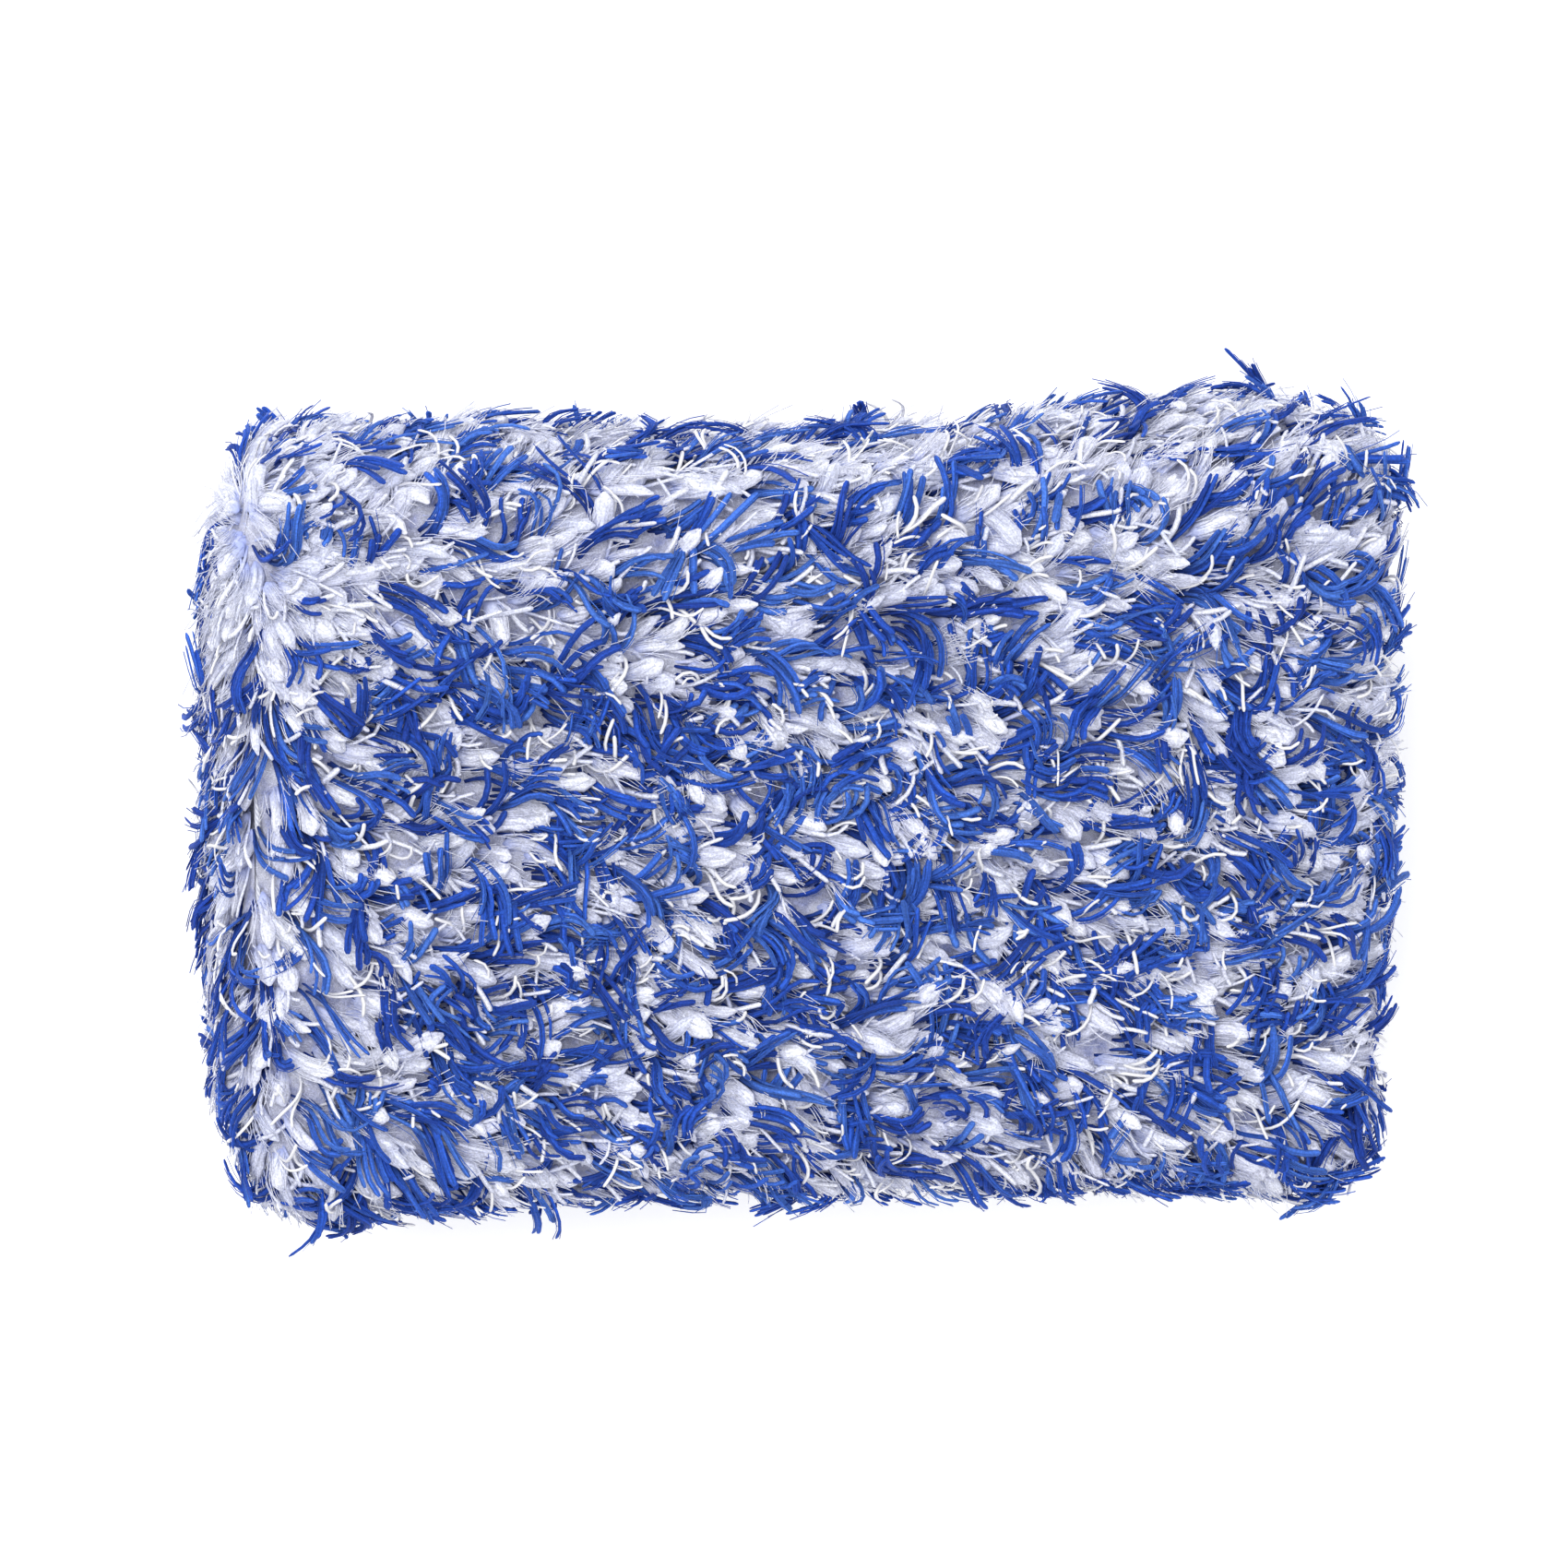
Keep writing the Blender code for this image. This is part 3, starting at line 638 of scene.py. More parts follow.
def node_material(name, roughness, sheen=0.0, sheen_tint=(1, 1, 1)):
    material = bpy.data.materials.new(name)
    material.use_nodes = True
    nodes = material.node_tree.nodes
    shader = nodes["Principled BSDF"]
    shader.inputs["Roughness"].default_value = roughness
    shader.inputs["Sheen Weight"].default_value = sheen
    shader.inputs["Sheen Roughness"].default_value = 0.5
    shader.inputs["Sheen Tint"].default_value = (*sheen_tint, 1)
    shader.inputs["Specular IOR Level"].default_value = 0.2
    return material, nodes, material.node_tree.links, shader


def ramp(nodes, stops):
    node = nodes.new("ShaderNodeValToRGB")
    elements = node.color_ramp.elements
    while len(elements) < len(stops):
        elements.new(0.5)
    for element, (position, colour) in zip(elements, stops):
        element.position = position
        element.color = (*colour, 1)
    return node


def map_range(nodes, links, source, from_low, from_high, to_low, to_high):
    node = nodes.new("ShaderNodeMapRange")
    node.inputs["From Min"].default_value = from_low
    node.inputs["From Max"].default_value = from_high
    node.inputs["To Min"].default_value = to_low
    node.inputs["To Max"].default_value = to_high
    links.new(source, node.inputs["Value"])
    return node.outputs["Result"]


def mix(nodes, links, blend, factor, a, b):
    """A colour mix. factor, a and b are each a socket or a constant."""
    node = nodes.new("ShaderNodeMix")
    node.data_type = "RGBA"
    node.blend_type = blend
    for socket, value in ((node.inputs[0], factor), (node.inputs[6], a), (node.inputs[7], b)):
        if isinstance(value, bpy.types.NodeSocket):
            links.new(value, socket)
        else:
            socket.default_value = value
    return node.outputs[2]


def strand_material(name, tones, root_shade_colour, streaks, contrast, grain, roughness, sheen, sheen_tint):
    """Yarn: each strand has its own tone, its root has painted shade in a deeper colour, fine fibres run along it, and
    it has a grain.
    """
    material, nodes, links, shader = node_material(name, roughness, sheen, sheen_tint)
    tone = nodes.new("ShaderNodeAttribute")
    tone.attribute_name = "tone"
    strand = nodes.new("ShaderNodeAttribute")
    strand.attribute_name = "strand"
    colours = ramp(nodes, tones)
    links.new(tone.outputs["Fac"], colours.inputs["Fac"])
    stretched = nodes.new("ShaderNodeVectorMath")
    stretched.operation = "MULTIPLY"
    stretched.inputs[1].default_value = (1, 1, 0.7)
    links.new(strand.outputs["Vector"], stretched.inputs[0])
    fibres = nodes.new("ShaderNodeTexNoise")
    fibres.noise_dimensions = "4D"
    fibres.inputs["Scale"].default_value = streaks
    fibres.inputs["Detail"].default_value = 2
    links.new(stretched.outputs["Vector"], fibres.inputs["Vector"])
    links.new(map_range(nodes, links, tone.outputs["Fac"], 0, 1, 0, 300), fibres.inputs["W"])
    shade = map_range(nodes, links, fibres.outputs["Fac"], 0.32, 0.68, 1 - contrast, 1 + contrast * 0.5)
    streaked = mix(nodes, links, "MULTIPLY", 1, colours.outputs["Color"], shade)
    place = nodes.new("ShaderNodeTexCoord")
    grains = nodes.new("ShaderNodeTexNoise")
    grains.inputs["Scale"].default_value = 2200
    grains.inputs["Detail"].default_value = 1
    links.new(place.outputs["Object"], grains.inputs["Vector"])
    speckle = map_range(nodes, links, grains.outputs["Fac"], 0.35, 0.65, 1 - grain, 1 + grain * 0.5)
    streaked = mix(nodes, links, "MULTIPLY", 1, streaked, speckle)
    parts = nodes.new("ShaderNodeSeparateXYZ")
    links.new(strand.outputs["Vector"], parts.inputs["Vector"])
    # Painted shade: the first part of each strand, near its root, is mixed towards a deeper colour, where the pile
    # shades itself.
    root_shade = map_range(nodes, links, parts.outputs["Z"], 0, 0.4, 0, 1)
    links.new(mix(nodes, links, "MIX", root_shade, (*root_shade_colour, 1), streaked), shader.inputs["Base Color"])
    return material


def fluff_material():
    """Cottony microfibre: pale, with darker lavender patches of painted shade for the gaps in the pile, and fine matted
    fibres.
    """
    material, nodes, links, shader = node_material("fluff", 0.95, 0.3)
    place = nodes.new("ShaderNodeTexCoord")
    gap_shade_clumps = nodes.new("ShaderNodeTexNoise")
    gap_shade_clumps.inputs["Scale"].default_value = 240
    gap_shade_clumps.inputs["Detail"].default_value = 6
    links.new(place.outputs["Object"], gap_shade_clumps.inputs["Vector"])
    # Painted shade: the darker lavender stops of the ramp stand for the bluish shade in the gaps of the pile.
    colours = ramp(nodes, [(0.32, (0.28, 0.32, 0.60)), (0.48, (0.58, 0.60, 0.79)), (0.7, (0.76, 0.78, 0.91))])
    links.new(gap_shade_clumps.outputs["Fac"], colours.inputs["Fac"])
    fibres = nodes.new("ShaderNodeTexNoise")
    fibres.inputs["Scale"].default_value = 1500
    fibres.inputs["Detail"].default_value = 3
    fibres.inputs["Distortion"].default_value = 2.5
    links.new(place.outputs["Object"], fibres.inputs["Vector"])
    shade = map_range(nodes, links, fibres.outputs["Fac"], 0.35, 0.65, 0.68, 1.12)
    matted = mix(nodes, links, "MULTIPLY", 1, colours.outputs["Color"], shade)
    links.new(matted, shader.inputs["Base Color"])
    put_bump(nodes, links, shader, fibres.outputs["Fac"], 0.8, 0.8 * MM)
    return material


def cloth_vector(nodes, links, attribute, scale):
    """Where a weave is laid: on the named attribute, or on the object's own coordinates."""
    if attribute:
        source = nodes.new("ShaderNodeAttribute")
        source.attribute_name = attribute
        socket = source.outputs["Vector"]
    else:
        source = nodes.new("ShaderNodeTexCoord")
        socket = source.outputs["Object"]
    scaled = nodes.new("ShaderNodeVectorMath")
    scaled.operation = "MULTIPLY"
    scaled.inputs[1].default_value = scale
    links.new(socket, scaled.inputs[0])
    return scaled.outputs["Vector"]


def waves(nodes, links, vector, direction, profile="SIN", distortion=0.0):
    """Even bands, one for each unit along a direction of the vector."""
    node = nodes.new("ShaderNodeTexWave")
    node.bands_direction = direction
    node.wave_profile = profile
    node.inputs["Scale"].default_value = 1 / 3.1831
    node.inputs["Distortion"].default_value = distortion
    node.inputs["Detail"].default_value = 1
    links.new(vector, node.inputs["Vector"])
    return node.outputs["Fac"]


def joined(nodes, links, operation, a, b):
    node = nodes.new("ShaderNodeMath")
    node.operation = operation
    for socket, value in zip(node.inputs, (a, b)):
        if isinstance(value, bpy.types.NodeSocket):
            links.new(value, socket)
        else:
            socket.default_value = value
    return node.outputs["Value"]


def put_bump(nodes, links, shader, height, strength, distance):
    bump = nodes.new("ShaderNodeBump")
    bump.inputs["Strength"].default_value = strength
    bump.inputs["Distance"].default_value = distance
    links.new(height, bump.inputs["Height"])
    links.new(bump.outputs["Normal"], shader.inputs["Normal"])


def cloth_material(name, high_colour, hollow_shade_colour, threads, directions, depth, roughness, sheen,
                   attribute=None, distortion=0.6):
    """Cloth whose threads are raised bands, so many metres apart, along each of two directions, with painted shade in a
    darker colour between them.
    """
    material, nodes, links, shader = node_material(name, roughness, sheen)
    vector = cloth_vector(nodes, links, attribute, tuple(1 / spacing for spacing in threads))
    first = waves(nodes, links, vector, directions[0], distortion=distortion)
    second = waves(nodes, links, vector, directions[1], distortion=distortion)
    height = joined(nodes, links, "MULTIPLY", first, second)
    worn = nodes.new("ShaderNodeTexNoise")
    worn.inputs["Scale"].default_value = 120
    worn.inputs["Detail"].default_value = 4
    place = nodes.new("ShaderNodeTexCoord")
    links.new(place.outputs["Object"], worn.inputs["Vector"])
    uneven = joined(nodes, links, "MULTIPLY_ADD", worn.outputs["Fac"], 0.6)
    shade = joined(nodes, links, "MULTIPLY", joined(nodes, links, "POWER", height, 0.5), uneven)
    uneven.node.inputs[2].default_value = 0.6
    # Painted shade: the darker colour goes where the threads are low, between them.
    colour = mix(nodes, links, "MIX", shade, (*hollow_shade_colour, 1), (*high_colour, 1))
    links.new(colour, shader.inputs["Base Color"])
    put_bump(nodes, links, shader, height, 0.8, depth)
    return material


def thread_material():
    """Bright sewing thread, with its twist and painted shade in the grooves of the twist."""
    return cloth_material("sewing_thread", (0.85, 0.86, 0.90), (0.45, 0.47, 0.58), (0.6 * MM, 0.6 * MM, 0.6 * MM),
                          ("DIAGONAL", "DIAGONAL"), 0.1 * MM, 0.6, 0.1)


def foam_material(name, high_colour, hollow_shade_colour, scale, depth):
    """Foam or wadding: pits or matted fibres of one size, with painted shade in a darker colour in the pits."""
    material, nodes, links, shader = node_material(name, 0.95, 0.1)
    place = nodes.new("ShaderNodeTexCoord")
    pits = nodes.new("ShaderNodeTexVoronoi")
    pits.inputs["Scale"].default_value = scale
    pits.inputs["Randomness"].default_value = 1
    links.new(place.outputs["Object"], pits.inputs["Vector"])
    shade = map_range(nodes, links, pits.outputs["Distance"], 0.05, 0.6, 0, 1)
    # Painted shade: the darker colour goes in the middle of each pit.
    colour = mix(nodes, links, "MIX", shade, (*hollow_shade_colour, 1), (*high_colour, 1))
    links.new(colour, shader.inputs["Base Color"])
    put_bump(nodes, links, shader, pits.outputs["Distance"], 0.6, depth)
    return material


# ---------------------------------------------------------------- ground pieces

def roughen(block):
    """Cottony lumps on the ground."""
    normals = np.empty(len(block.data.vertices) * 3, np.float32)
    block.data.vertices.foreach_get("normal", normals)
    normals = normals.reshape(-1, 3)
    places = coordinates(block)
    lumps = np.array([noise.fractal(Vector(p) / LUMP_SIZE, 1.0, 2.0, 3) for p in places])
    places += normals * (LUMP_HEIGHT * lumps)[:, None]
    places[:, 2] = np.maximum(places[:, 2], LOW.z + GROUND_OVER_FLOOR * 0.6)
    set_coordinates(block, places)


def keep_inside(obj, low, high):
    """Cuts the mesh to a box, plane by plane, and closes it. A side set to None isn't cut."""
    bm = bmesh.new()
    bm.from_mesh(obj.data)
    for corner, sign in ((low, -1), (high, 1)):
        for axis in range(3):
            if corner[axis] is None:
                continue
            place, normal = Vector((0, 0, 0)), Vector((0, 0, 0))
            place[axis], normal[axis] = corner[axis], sign
            everything = [*bm.verts, *bm.edges, *bm.faces]
            bmesh.ops.bisect_plane(bm, geom=everything, plane_co=place, plane_no=normal, clear_outer=True)
            bmesh.ops.holes_fill(bm, edges=[e for e in bm.edges if e.is_boundary], sides=0)
    bmesh.ops.triangulate(bm, faces=[f for f in bm.faces if len(f.verts) > 4])
    bmesh.ops.recalc_face_normals(bm, faces=bm.faces)
    bm.to_mesh(obj.data)
    bm.free()


def ground_pieces(block, material):
    """Cuts the block into the sewn pieces of the plush, each a slab outside the sponge core. Each row holds the
    slab's low corner, its high corner, and the width and length that the cloth is cut to."""
    upright = (BACK[1].z, PALM[0].z)
    height = PALM[0].z - BACK[1].z
    across = SIZE.y - 2 * GROUND_INSET
    side_length = RING_MOUTH_X - CORE[0].x
    facing_depth = PALM[1].x - LIP_INSET - RING_MOUTH_X
    corner_facing = across / 2 - LIP[1].y + facing_depth - 0.43 * GROUND_CORNER
    overhang = PALM[1].x - BACK[1].x
    pieces = {
        "palm_plush_panel": ((None, None, PALM[0].z), (None, None, None),
                             (across, SIZE.x - GROUND_INSET - LIP_INSET)),
        "back_plush_panel": ((None, None, None), (None, None, BACK[1].z),
                             (across, SIZE.x - GROUND_INSET - LIP_INSET - overhang)),
        "finger_end_gusset": ((None, None, upright[0]), (CORE[0].x, None, upright[1]), (height, across)),
        "far_side_gusset": ((CORE[0].x, CORE[1].y, upright[0]), (RING_MOUTH_X, None, upright[1]),
                            (height, side_length)),
        "near_side_gusset": ((CORE[0].x, None, upright[0]), (RING_MOUTH_X, CORE[0].y, upright[1]),
                             (height, side_length)),
        "mouth_facing_far": ((RING_MOUTH_X, LIP[1].y, upright[0]), (None, None, upright[1]),
                             (corner_facing, height)),
        "mouth_facing_near": ((RING_MOUTH_X, None, upright[0]), (None, LIP[0].y, upright[1]),
                              (corner_facing, height)),
        "mouth_facing_palm": ((RING_MOUTH_X, LIP[0].y, LIP[0].z), (None, LIP[1].y, upright[1]),
                              (facing_depth + PALM[0].z - LIP[0].z, LIP[1].y - LIP[0].y)),
        "mouth_facing_back": ((RING_MOUTH_X, LIP[0].y, upright[0]), (None, LIP[1].y, SILL[1].z),
                              (facing_depth - overhang + SILL[1].z - upright[0], LIP[1].y - LIP[0].y)),
    }
    for node, (low, high, cut) in pieces.items():
        piece = block.copy()
        piece.data = block.data.copy()
        piece.name = "ground_of_" + node
        bpy.context.scene.collection.objects.link(piece)
        keep_inside(piece, low, high)
        finish_piece(piece, material, "plush_white", "mitt", node)
    remove(block)


def finish_piece(piece, material, slot, body, *nodes):
    """Gives a piece its one material and its body, and hides the CAD nodes that it stands for. Its slot is not used."""
    piece.data.materials.clear()
    piece.data.materials.append(material)
    piece.data.shade_smooth()
    if body:
        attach(piece, body)
    if nodes:
        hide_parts(*nodes)


# ---------------------------------------------------------------- inside the mitt

def grid_faces(rows, columns, closed_columns=False, closed_rows=False):
    """Quads over a grid of vertices that is numbered row by row."""
    r = np.arange(rows if closed_rows else rows - 1)[:, None]
    c = np.arange(columns if closed_columns else columns - 1)[None, :]
    following_row, following_column = (r + 1) % rows, (c + 1) % columns
    corners = (r * columns + c, r * columns + following_column,
               following_row * columns + following_column, following_row * columns + c)
    return np.stack(np.broadcast_arrays(*corners), axis=-1).reshape(-1, 4)


def thicken(obj, thickness, offset=0.0):
    modifier = obj.modifiers.new("thickness", "SOLIDIFY")
    modifier.thickness = thickness
    modifier.offset = offset
    apply_modifiers(obj)


def foam_piece(node, ground, material, slot, lumps):
    """A stuffed or foam piece: its CAD solid remeshed, with softened edges and small lumps, and pressed in
    wherever it would come through the cover."""
    solid = bpy.data.objects[node]
    piece = bpy.data.objects.new("soft_" + node, solid.data.copy())
    bpy.context.scene.collection.objects.link(piece)
    remesh = piece.modifiers.new("grid", "REMESH")
    remesh.mode = "VOXEL"
    remesh.voxel_size = 2.5 * MM
    relax = piece.modifiers.new("relax", "SMOOTH")
    relax.factor = 0.5
    relax.iterations = 2
    apply_modifiers(piece)
    places = coordinates(piece)
    normals = np.empty(places.size, np.float32)
    piece.data.vertices.foreach_get("normal", normals)
    wander = drift(places, 9 * MM, 3.0)[:, 0]
    places += normals.reshape(-1, 3) * (np.minimum(wander, 0) * lumps)[:, None]
    past = np.maximum(ground.distance(places) + COVER_DEPTH, 0)
    set_coordinates(piece, places - ground.outwards(places) * past[:, None])
    finish_piece(piece, material, slot, "mitt", node)


def lining_panel(node, material):
    """Half of the pocket lining: a tray of thin cloth with small wrinkles, open at the mouth."""
    low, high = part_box(node)
    opens_up = high.z < (SILL[1].z + LIP[0].z) / 2
    floor, rim = (low.z, high.z) if opens_up else (high.z, low.z)
    inward = 1 if opens_up else -1
    thickness = 0.5 * MM
    corner = 12 * MM
    stations = np.concatenate([np.linspace(high.x, low.x + corner, 60),
                               low.x + corner * (1 - np.sin(np.linspace(0.05, 1, 12) * math.pi / 2))])
    walls = 5
    half = high.y - thickness
    rows = []
    for row in range(len(stations) + walls):
        x = stations[min(row, len(stations) - 1)] + thickness
        end_rise = max(row - len(stations) + 1, 0) / walls
        into_corner = max(low.x + corner - x, 0)
        width = half - corner + math.sqrt(max(corner ** 2 - into_corner ** 2, 0))
        side = np.concatenate([np.linspace(1, 0, walls + 1)[:-1], np.zeros(61), np.linspace(0, 1, walls + 1)[1:]])
        across = np.concatenate([-np.ones(walls), np.linspace(-1, 1, 61), np.ones(walls)]) * width
        rise = np.maximum(side, end_rise)
        level = floor + inward * thickness + (rim - floor - inward * thickness) * rise
        rows.append(np.stack([np.full(len(across), x), across, level], axis=1))
    places = np.array(rows)
    flat = places.reshape(-1, 3)
    wrinkles = 0.5 + drift(flat * (1, 2.2, 1), 16 * MM, 8.0)[:, 0]
    flat[:, 2] += inward * 0.7 * MM * wrinkles * (1 - np.abs(flat[:, 2] - floor) / abs(rim - floor))
    piece = mesh_object("cloth_" + node, flat, grid_faces(places.shape[0], places.shape[1]))
    thicken(piece, thickness)
    finish_piece(piece, material, "lining", "mitt", node)


def rounded_outline(half_width, low, high, radius, count):
    """Evenly spaced points (y, z) round a rounded rectangle that is centred on y = 0."""
    y, z = half_width - radius, (high - low) / 2 - radius
    middle = (high + low) / 2
    corners = []
    for centre_y, centre_z, start in ((y, z, 0), (-y, z, 90), (-y, -z, 180), (y, -z, 270)):
        turn = np.radians(start + np.linspace(0, 90, 9))
        corners.append(np.stack([centre_y + radius * np.cos(turn), middle + centre_z + radius * np.sin(turn)], axis=1))
    line = np.concatenate(corners)
    line = np.append(line, line[:1], axis=0)
    gone = np.append(0, np.cumsum(np.linalg.norm(np.diff(line, axis=0), axis=1)))
    at = np.linspace(0, gone[-1], count, endpoint=False)
    return np.stack([np.interp(at, gone, line[:, 0]), np.interp(at, gone, line[:, 1])], axis=1)


def knit_cuff(material):
    """The ribbed cuff, which narrows from the lining to its neck and is drawn in by the elastic."""
    node = "knit_cuff"
    low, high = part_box(node)
    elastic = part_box("cuff_elastic")
    ribs, points_per_rib = 120, 6
    count = ribs * points_per_rib
    start = rounded_outline(high.y, low.z, high.z, 4 * MM, count)
    narrow = 1.6 * MM
    end = rounded_outline(elastic[1].y - narrow, elastic[0].z + narrow, elastic[1].z - narrow, 4 * MM, count)
    outward = unit(np.roll(end, -1, axis=0) - np.roll(end, 1, axis=0))
    outward = np.stack([outward[:, 1], -outward[:, 0]], axis=1)
    rib = 0.28 * MM * (np.cos(2 * math.pi * np.arange(count) / points_per_rib) - 1)
    rows = []
    for x in np.linspace(low.x, high.x, 40):
        taper = smooth((x - low.x - 4 * MM) / (elastic[0].x - 8 * MM - low.x - 4 * MM))
        pinch = 0.35 * MM * math.exp(-((x - (elastic[0].x + elastic[1].x) / 2) / (5 * MM)) ** 2)
        outline = start * (1 - taper) + end * taper - outward * pinch + outward * rib[:, None]
        rows.append(np.column_stack([np.full(count, x), outline]))
    piece = mesh_object("ribbed_cuff", np.concatenate(rows), grid_faces(len(rows), count, closed_columns=True))
    thicken(piece, 0.5 * MM, -1)
    keep_normals_out(piece)
    finish_piece(piece, material, "cuff_knit", "mitt", node)


def keep_normals_out(obj):
    bm = bmesh.new()
    bm.from_mesh(obj.data)
    bmesh.ops.recalc_face_normals(bm, faces=bm.faces)
    bm.to_mesh(obj.data)
    bm.free()


# ---------------------------------------------------------------- trim at the mouth

def stitches(name, starts, ends, radius, slot, body, material, *nodes):
    """Short arched stitches of thread, from starts to ends, as one piece."""
    starts, ends = np.asarray(starts, float), np.asarray(ends, float)
    share = np.linspace(0, 1, 6)[None, :, None]
    lines = starts[:, None] * (1 - share) + ends[:, None] * share
    lines[..., 0] += radius * 0.9 * np.sin(share[..., 0] * math.pi)
    tangent = unit(np.gradient(lines, axis=1))
    across = unit(np.cross(tangent, (1.0, 0.0, 0.0)))
    over = np.cross(across, tangent)
    width = 2 * radius * np.array([0.7, 1, 1, 1, 1, 0.7])[None] * np.ones((len(lines), 1))
    vertices, faces = tubes(lines, across, over, width, width, 6)
    piece = mesh_object(name, vertices, faces)
    keep_normals_out(piece)
    finish_piece(piece, material, slot, body, *nodes)
    return piece


def mouth_binding(material, thread):
    """The folded tape round the mouth, softly rounded, and its row of stitches."""
    inner_low, inner_high = BINDING[0].copy(), BINDING[1].copy()
    lap = BINDING_WIDTH
    count = 320
    inner = rounded_outline(inner_high.y - lap, inner_low.z + lap, inner_high.z - TOP_BINDING_WIDTH, 2.5 * MM, count)
    outer = rounded_outline(inner_high.y, inner_low.z, inner_high.z, 5 * MM, count)
    front, back = BINDING[1].x, BINDING[0].x
    profile = ((0.0, 0.1), (0.06, 0.75), (0.25, 1.0), (0.55, 0.92), (0.85, 1.0), (0.97, 0.7), (1.0, 0.1), (0.5, 0.0))
    wave = drift(np.column_stack([np.full(count, front), outer]), 7 * MM, 2.0)[:, 0]
    rows = []
    for share, rise in profile:
        ring = inner * (1 - share) + outer * share
        x = back + (front - back) * rise * (1 - 0.14 * np.abs(wave))
        rows.append(np.column_stack([x, ring]))
    piece = mesh_object("binding_tape", np.concatenate(rows),
                        grid_faces(len(rows), count, closed_columns=True, closed_rows=True))
    keep_normals_out(piece)
    finish_piece(piece, material, "binding", "mitt", "mouth_binding")
    number = 104
    line = rounded_outline(inner_high.y - 1.6 * MM, inner_low.z + 1.6 * MM, inner_high.z - 1.1 * MM, 4 * MM, number * 3)
    line = np.column_stack([np.full(len(line), front - 0.1 * MM), line])
    stitches("binding_stitches", line[0::3], line[2::3], 0.22 * MM, "thread", "mitt", thread)


def bar_tack(node, material):
    """Close stitches side by side over one end of the mouth."""
    low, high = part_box(node)
    levels = np.linspace(low.z, high.z, 15)
    starts = [(high.x - 0.35 * MM, low.y, z) for z in levels]
    ends = [(high.x - 0.35 * MM, high.y, z + 0.2 * MM) for z in levels]
    stitches("stitches_of_" + node, starts, ends, 0.24 * MM, "thread", "mitt", material, node)


def ribbon(name, path, low_z, high_z, thickness, sag=0.0):
    """A strip of tape that stands on its edge and follows a path in plan, with its length and width, in
    metres, kept on it as the vector attribute cloth."""
    path = np.asarray(path, float)
    step = np.linalg.norm(np.diff(path, axis=0), axis=1)
    gone = np.append(0, np.cumsum(step))
    tangent = unit(np.gradient(path, gone, axis=0))
    normal = np.stack([tangent[:, 1], -tangent[:, 0]], axis=1)
    edge = 0.25 * thickness
    section = [(low_z + edge, -0.5), (low_z, 0.0), (low_z + edge, 0.5)]
    section += [(low_z + (high_z - low_z) * share, 0.5) for share in np.linspace(0.15, 0.85, 6)]
    section += [(high_z - edge, 0.5), (high_z, 0.0), (high_z - edge, -0.5)]
    section += [(low_z + (high_z - low_z) * share, -0.5) for share in np.linspace(0.85, 0.15, 6)]
    rows, cloth = [], []
    for place, side, along in zip(path, normal, gone):
        droop = sag * math.sin(math.pi * along / gone[-1])
        for level, share in section:
            rows.append((*(place + side * thickness * share), level - droop))
            cloth.append((along, level - low_z, share * thickness))
    columns = len(section)
    faces = grid_faces(len(path), columns, closed_columns=True)
    piece = mesh_object(name, rows, faces, {"cloth": cloth})
    bm = bmesh.new()
    bm.from_mesh(piece.data)
    bmesh.ops.holes_fill(bm, edges=[e for e in bm.edges if e.is_boundary], sides=0)
    bmesh.ops.triangulate(bm, faces=[f for f in bm.faces if len(f.verts) > 4])
    bmesh.ops.recalc_face_normals(bm, faces=bm.faces)
    bm.to_mesh(piece.data)
    bm.free()
    return piece


def hang_loop(material, thread):
    """One woven tape, folded into a loop. Its two ends are sewn flat to the mouth end."""
    tape = 1.1 * MM
    near_x = TAB[0].x + 0.6 * MM
    far_x = LOOP[1].x - 0.6 * MM
    radius = (far_x - near_x) / 2
    tip = LOOP[1].y - radius - 0.6 * MM
    hinge = joint_position("hang_loop_swing")
    straight = np.linspace(TAB[0].y, tip, 40)
    turn = np.radians(np.linspace(180, 0, 18))[1:-1]
    bend = [(near_x + radius + radius * math.cos(a), tip + radius * math.sin(a)) for a in turn]
    back = np.linspace(tip, TAB[0].y, 46)
    closed_x = near_x + 1.2 * MM
    parting = smooth((back - hinge.y - 5 * MM) / (13 * MM))
    path = [(near_x, y) for y in straight] + bend + list(zip(closed_x + (far_x - closed_x) * parting, back))
    piece = ribbon("loop_tape", path, LOOP[0].z, LOOP[1].z, tape)
    finish_piece(piece, material, "webbing", None, "hang_loop", "hang_loop_tab")
    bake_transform(piece)
    x = TAB[1].x - 0.05 * MM
    low, high = TAB[0] + Vector((0, 1.2, 1.4)) * MM, TAB[1] - Vector((0, 1.2, 1.4)) * MM
    zigzag = np.linspace(low.z, high.z, 9)
    box_line = [(x, low.y, z) for z in zigzag] + [(x, high.y, z) for z in zigzag[::-1]] + [(x, low.y, low.z)]
    box_line += [(x, (low.y + high.y) / 2, (low.z + high.z) / 2), (x, high.y, high.z)]
    stitches("loop_stitches", box_line[:-1], box_line[1:], 0.2 * MM, "thread", "mitt", thread)


def joint_position(name):
    """Where a joint's axis passes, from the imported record."""
    joint = next(j for j in frame["joints"] if j["name"] == name)
    return Vector(joint["pos_m"])


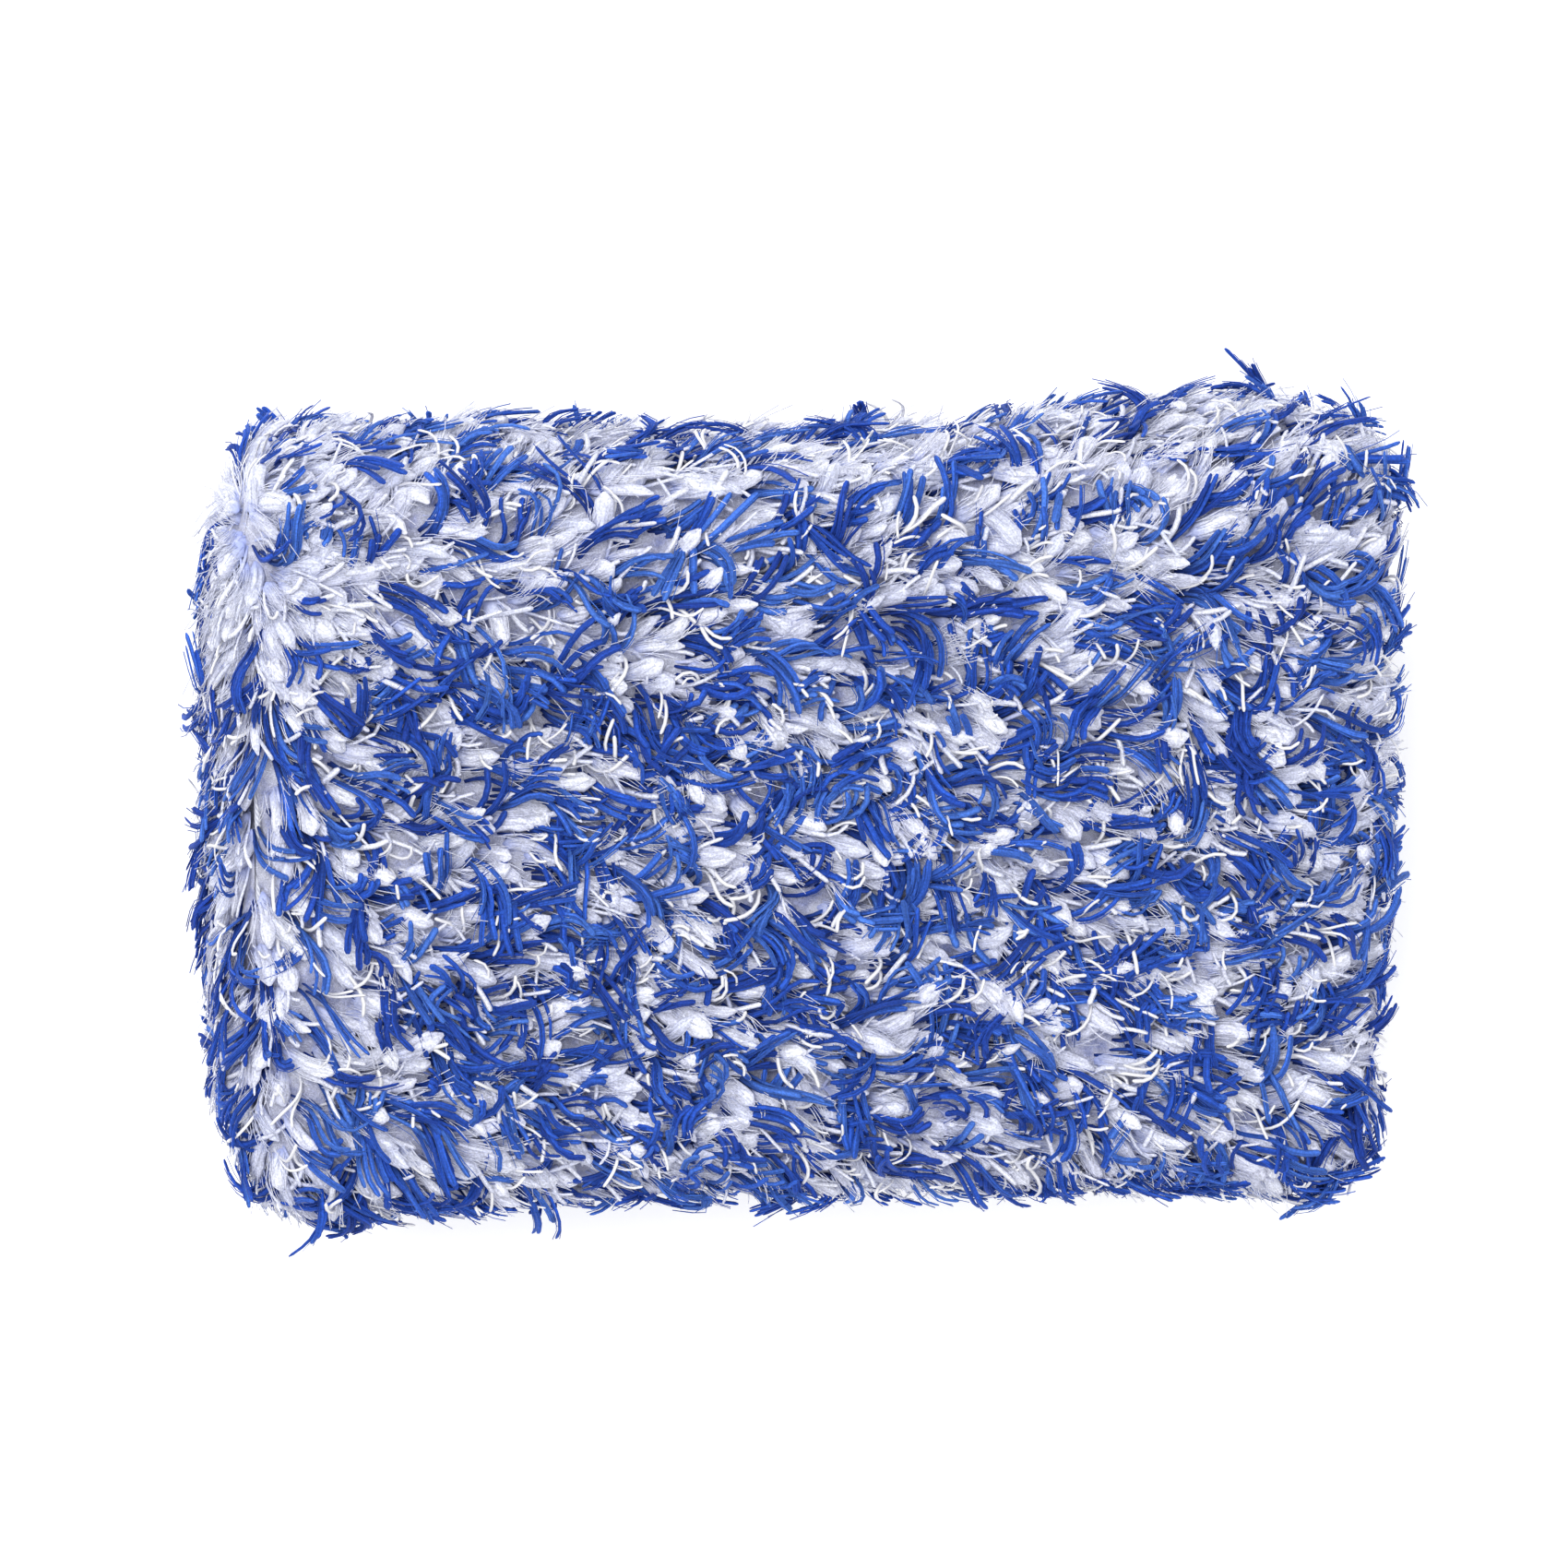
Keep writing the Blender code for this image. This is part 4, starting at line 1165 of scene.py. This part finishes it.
def care_label(material, thread):
    """A small blank satin label that curls a little off the mouth end."""
    hinge = joint_position("care_label_swing")
    ys = np.linspace(LABEL_TACK[1].y, LABEL[0].y, 60)
    curl = 0.4 * MM * smooth((hinge.y - ys) / (26 * MM)) * np.sin((hinge.y - ys) / (26 * MM) * 2.2)
    x = (LABEL[0].x + LABEL[1].x) / 2
    piece = ribbon("label_cloth", list(zip(x + curl, ys)), LABEL[0].z, LABEL[1].z, 0.5 * MM)
    finish_piece(piece, material, "label", None, "care_label")
    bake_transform(piece)
    low, high = LABEL_TACK
    levels = np.linspace(low.z + 0.4 * MM, high.z - 0.4 * MM, 22)
    starts = [(high.x - 0.3 * MM, low.y + 0.4 * MM, z) for z in levels]
    ends = [(high.x - 0.3 * MM, high.y - 0.4 * MM, z + 0.25 * MM) for z in levels]
    stitches("label_stitches", starts, ends, 0.2 * MM, "thread", "mitt", thread, "care_label_tack")


# ---------------------------------------------------------------- stage

def make_floor():
    bpy.ops.mesh.primitive_plane_add(size=6, location=(0, 0, LOW.z))
    floor = bpy.context.object
    floor.name = "floor"
    material, nodes, links, shader = node_material("floor_white", 0.9)
    shader.inputs["Base Color"].default_value = (0.96, 0.96, 0.96, 1)
    shader.inputs["Emission Color"].default_value = (1, 1, 1, 1)
    shader.inputs["Emission Strength"].default_value = 0.22
    floor.data.materials.append(material)


def make_light(name, place, size, energy):
    data = bpy.data.lights.new(name, "AREA")
    data.size = size
    data.energy = energy
    light = bpy.data.objects.new(name, data)
    bpy.context.scene.collection.objects.link(light)
    light.location = place
    light.rotation_euler = (MIDDLE - Vector(place)).to_track_quat("-Z", "Y").to_euler()


def make_world():
    world = bpy.data.worlds.new("studio")
    world.use_nodes = True
    background = world.node_tree.nodes["Background"]
    background.inputs["Color"].default_value = (1, 1, 1, 1)
    background.inputs["Strength"].default_value = 0.80
    bpy.context.scene.world = world


def make_camera():
    """Nearly straight above, leaning a little to the far side and to the finger end, +Y up in the picture."""
    lean_far, lean_finger = math.radians(13), math.radians(6)
    distance, frame_width = 1.25, 0.3215
    direction = Vector((-math.tan(lean_finger), math.tan(lean_far), 1)).normalized()
    target = MIDDLE + Vector((-4 * MM, 5.6 * MM, 0))
    data = bpy.data.cameras.new("camera")
    data.sensor_width = 36
    data.lens = 36 * distance / frame_width
    camera = bpy.data.objects.new("camera", data)
    bpy.context.scene.collection.objects.link(camera)
    back = direction
    right = Vector((0, 1, 0)).cross(back).normalized()
    up = back.cross(right)
    rotation = Matrix((right, up, back)).transposed().to_4x4()
    camera.matrix_world = Matrix.Translation(target + direction * distance) @ rotation
    bpy.context.scene.camera = camera


def make_stage():
    make_floor()
    make_world()
    make_light("key", (-0.6, 0.8, 1.3), 1.1, 20)
    make_light("fill", (0.7, -0.5, 1.3), 1.0, 5)
    make_camera()
    bpy.context.scene.view_settings.view_transform = "Standard"


# ---------------------------------------------------------------- the mitt

make_stage()
block = ground_block()
swell(block)
settle(block)
field = Ground(block)
rng = np.random.default_rng(SEED)
blue = blue_tufts(field, block, rng)
white = white_locks(field, block, rng)
yarns = white_yarns(field, block, rng)
roughen(block)
ground_pieces(block, fluff_material())
# Each strand material's second colour is painted shade: the deeper colour near the root, where the pile shades itself.
blue.build("blue_tufts_", strand_material(
    "blue_microfibre",
    [(0.0, (0.012, 0.052, 0.36)), (0.5, (0.018, 0.084, 0.50)), (1.0, (0.06, 0.17, 0.62))],
    (0.004, 0.016, 0.13), 1.7, 0.6, 0.25, 0.7, 0.12, (0.35, 0.5, 1.0)), "plush_blue")
white.build("white_locks_", strand_material(
    "white_microfibre",
    [(0.0, (0.70, 0.73, 0.89)), (0.5, (0.77, 0.79, 0.94)), (1.0, (0.84, 0.86, 0.97))],
    (0.34, 0.40, 0.72), 3.5, 0.3, 0.22, 0.95, 0.3, (0.85, 0.88, 1.0)), "plush_white")
yarns.build("white_yarns_", strand_material(
    "bright_yarn",
    [(0.0, (0.78, 0.78, 0.82)), (1.0, (0.86, 0.86, 0.88))],
    (0.70, 0.72, 0.82), 1.5, 0.15, 0.05, 0.8, 0.2, (1, 1, 1)), "plush_white")

# The second colour of each foam and cloth below is painted shade, in its pits or between its threads.
sponge = foam_material("sponge_foam", (0.85, 0.80, 0.62), (0.55, 0.48, 0.30), 700, 0.5 * MM)
wadding = foam_material("polyester_wadding", (0.86, 0.86, 0.88), (0.66, 0.67, 0.72), 320, 0.8 * MM)
for node in ("palm_sponge", "back_sponge"):
    foam_piece(node, field, sponge, "sponge", 0.5 * MM)
for node in ("finger_end_wadding", "far_side_wadding", "near_side_wadding"):
    foam_piece(node, field, wadding, "wadding", 2.0 * MM)
lining = cloth_material("lining_cloth", (0.80, 0.81, 0.86), (0.52, 0.54, 0.62), (0.7 * MM, 0.7 * MM, 0.7 * MM),
                        ("X", "Y"), 0.12 * MM, 0.7, 0.1)
for node in ("lining_palm_panel", "lining_back_panel"):
    lining_panel(node, lining)
thread = thread_material()
knit_cuff(cloth_material("blue_rib_knit", (0.02, 0.09, 0.50), (0.006, 0.022, 0.16), (1.1 * MM, 1.3 * MM, 1.3 * MM),
                         ("X", "DIAGONAL"), 0.3 * MM, 0.85, 0.3))
mouth_binding(cloth_material("blue_binding_twill", (0.02, 0.085, 0.46), (0.008, 0.03, 0.2),
                             (0.5 * MM, 0.55 * MM, 0.55 * MM), ("DIAGONAL", "DIAGONAL"), 0.15 * MM, 0.65, 0.2), thread)
for node in ("mouth_bar_tack_far", "mouth_bar_tack_near"):
    bar_tack(node, thread)
hang_loop(cloth_material("blue_webbing", (0.025, 0.10, 0.50), (0.008, 0.03, 0.2), (0.9 * MM, 1.1 * MM, 1 * MM),
                         ("X", "Y"), 0.25 * MM, 0.6, 0.2, "cloth"), thread)
care_label(cloth_material("label_satin", (0.88, 0.88, 0.89), (0.70, 0.71, 0.75), (0.35 * MM, 0.35 * MM, 1 * MM),
                          ("X", "Y"), 0.05 * MM, 0.35, 0.1, "cloth"), thread)
elastic = cloth_material("elastic_band", (0.75, 0.76, 0.80), (0.40, 0.42, 0.50), (0.8 * MM, 1.2 * MM, 1.2 * MM),
                         ("X", "DIAGONAL"), 0.2 * MM, 0.6, 0.1)
bpy.data.objects["cuff_elastic"].data.materials[0] = elastic
for node in ("palm_edge_seam", "back_edge_seam", "lining_seam", "gusset_seam_finger_far", "gusset_seam_finger_near",
             "gusset_seam_mouth_far", "gusset_seam_mouth_near"):
    bpy.data.objects[node].data.materials[0] = thread
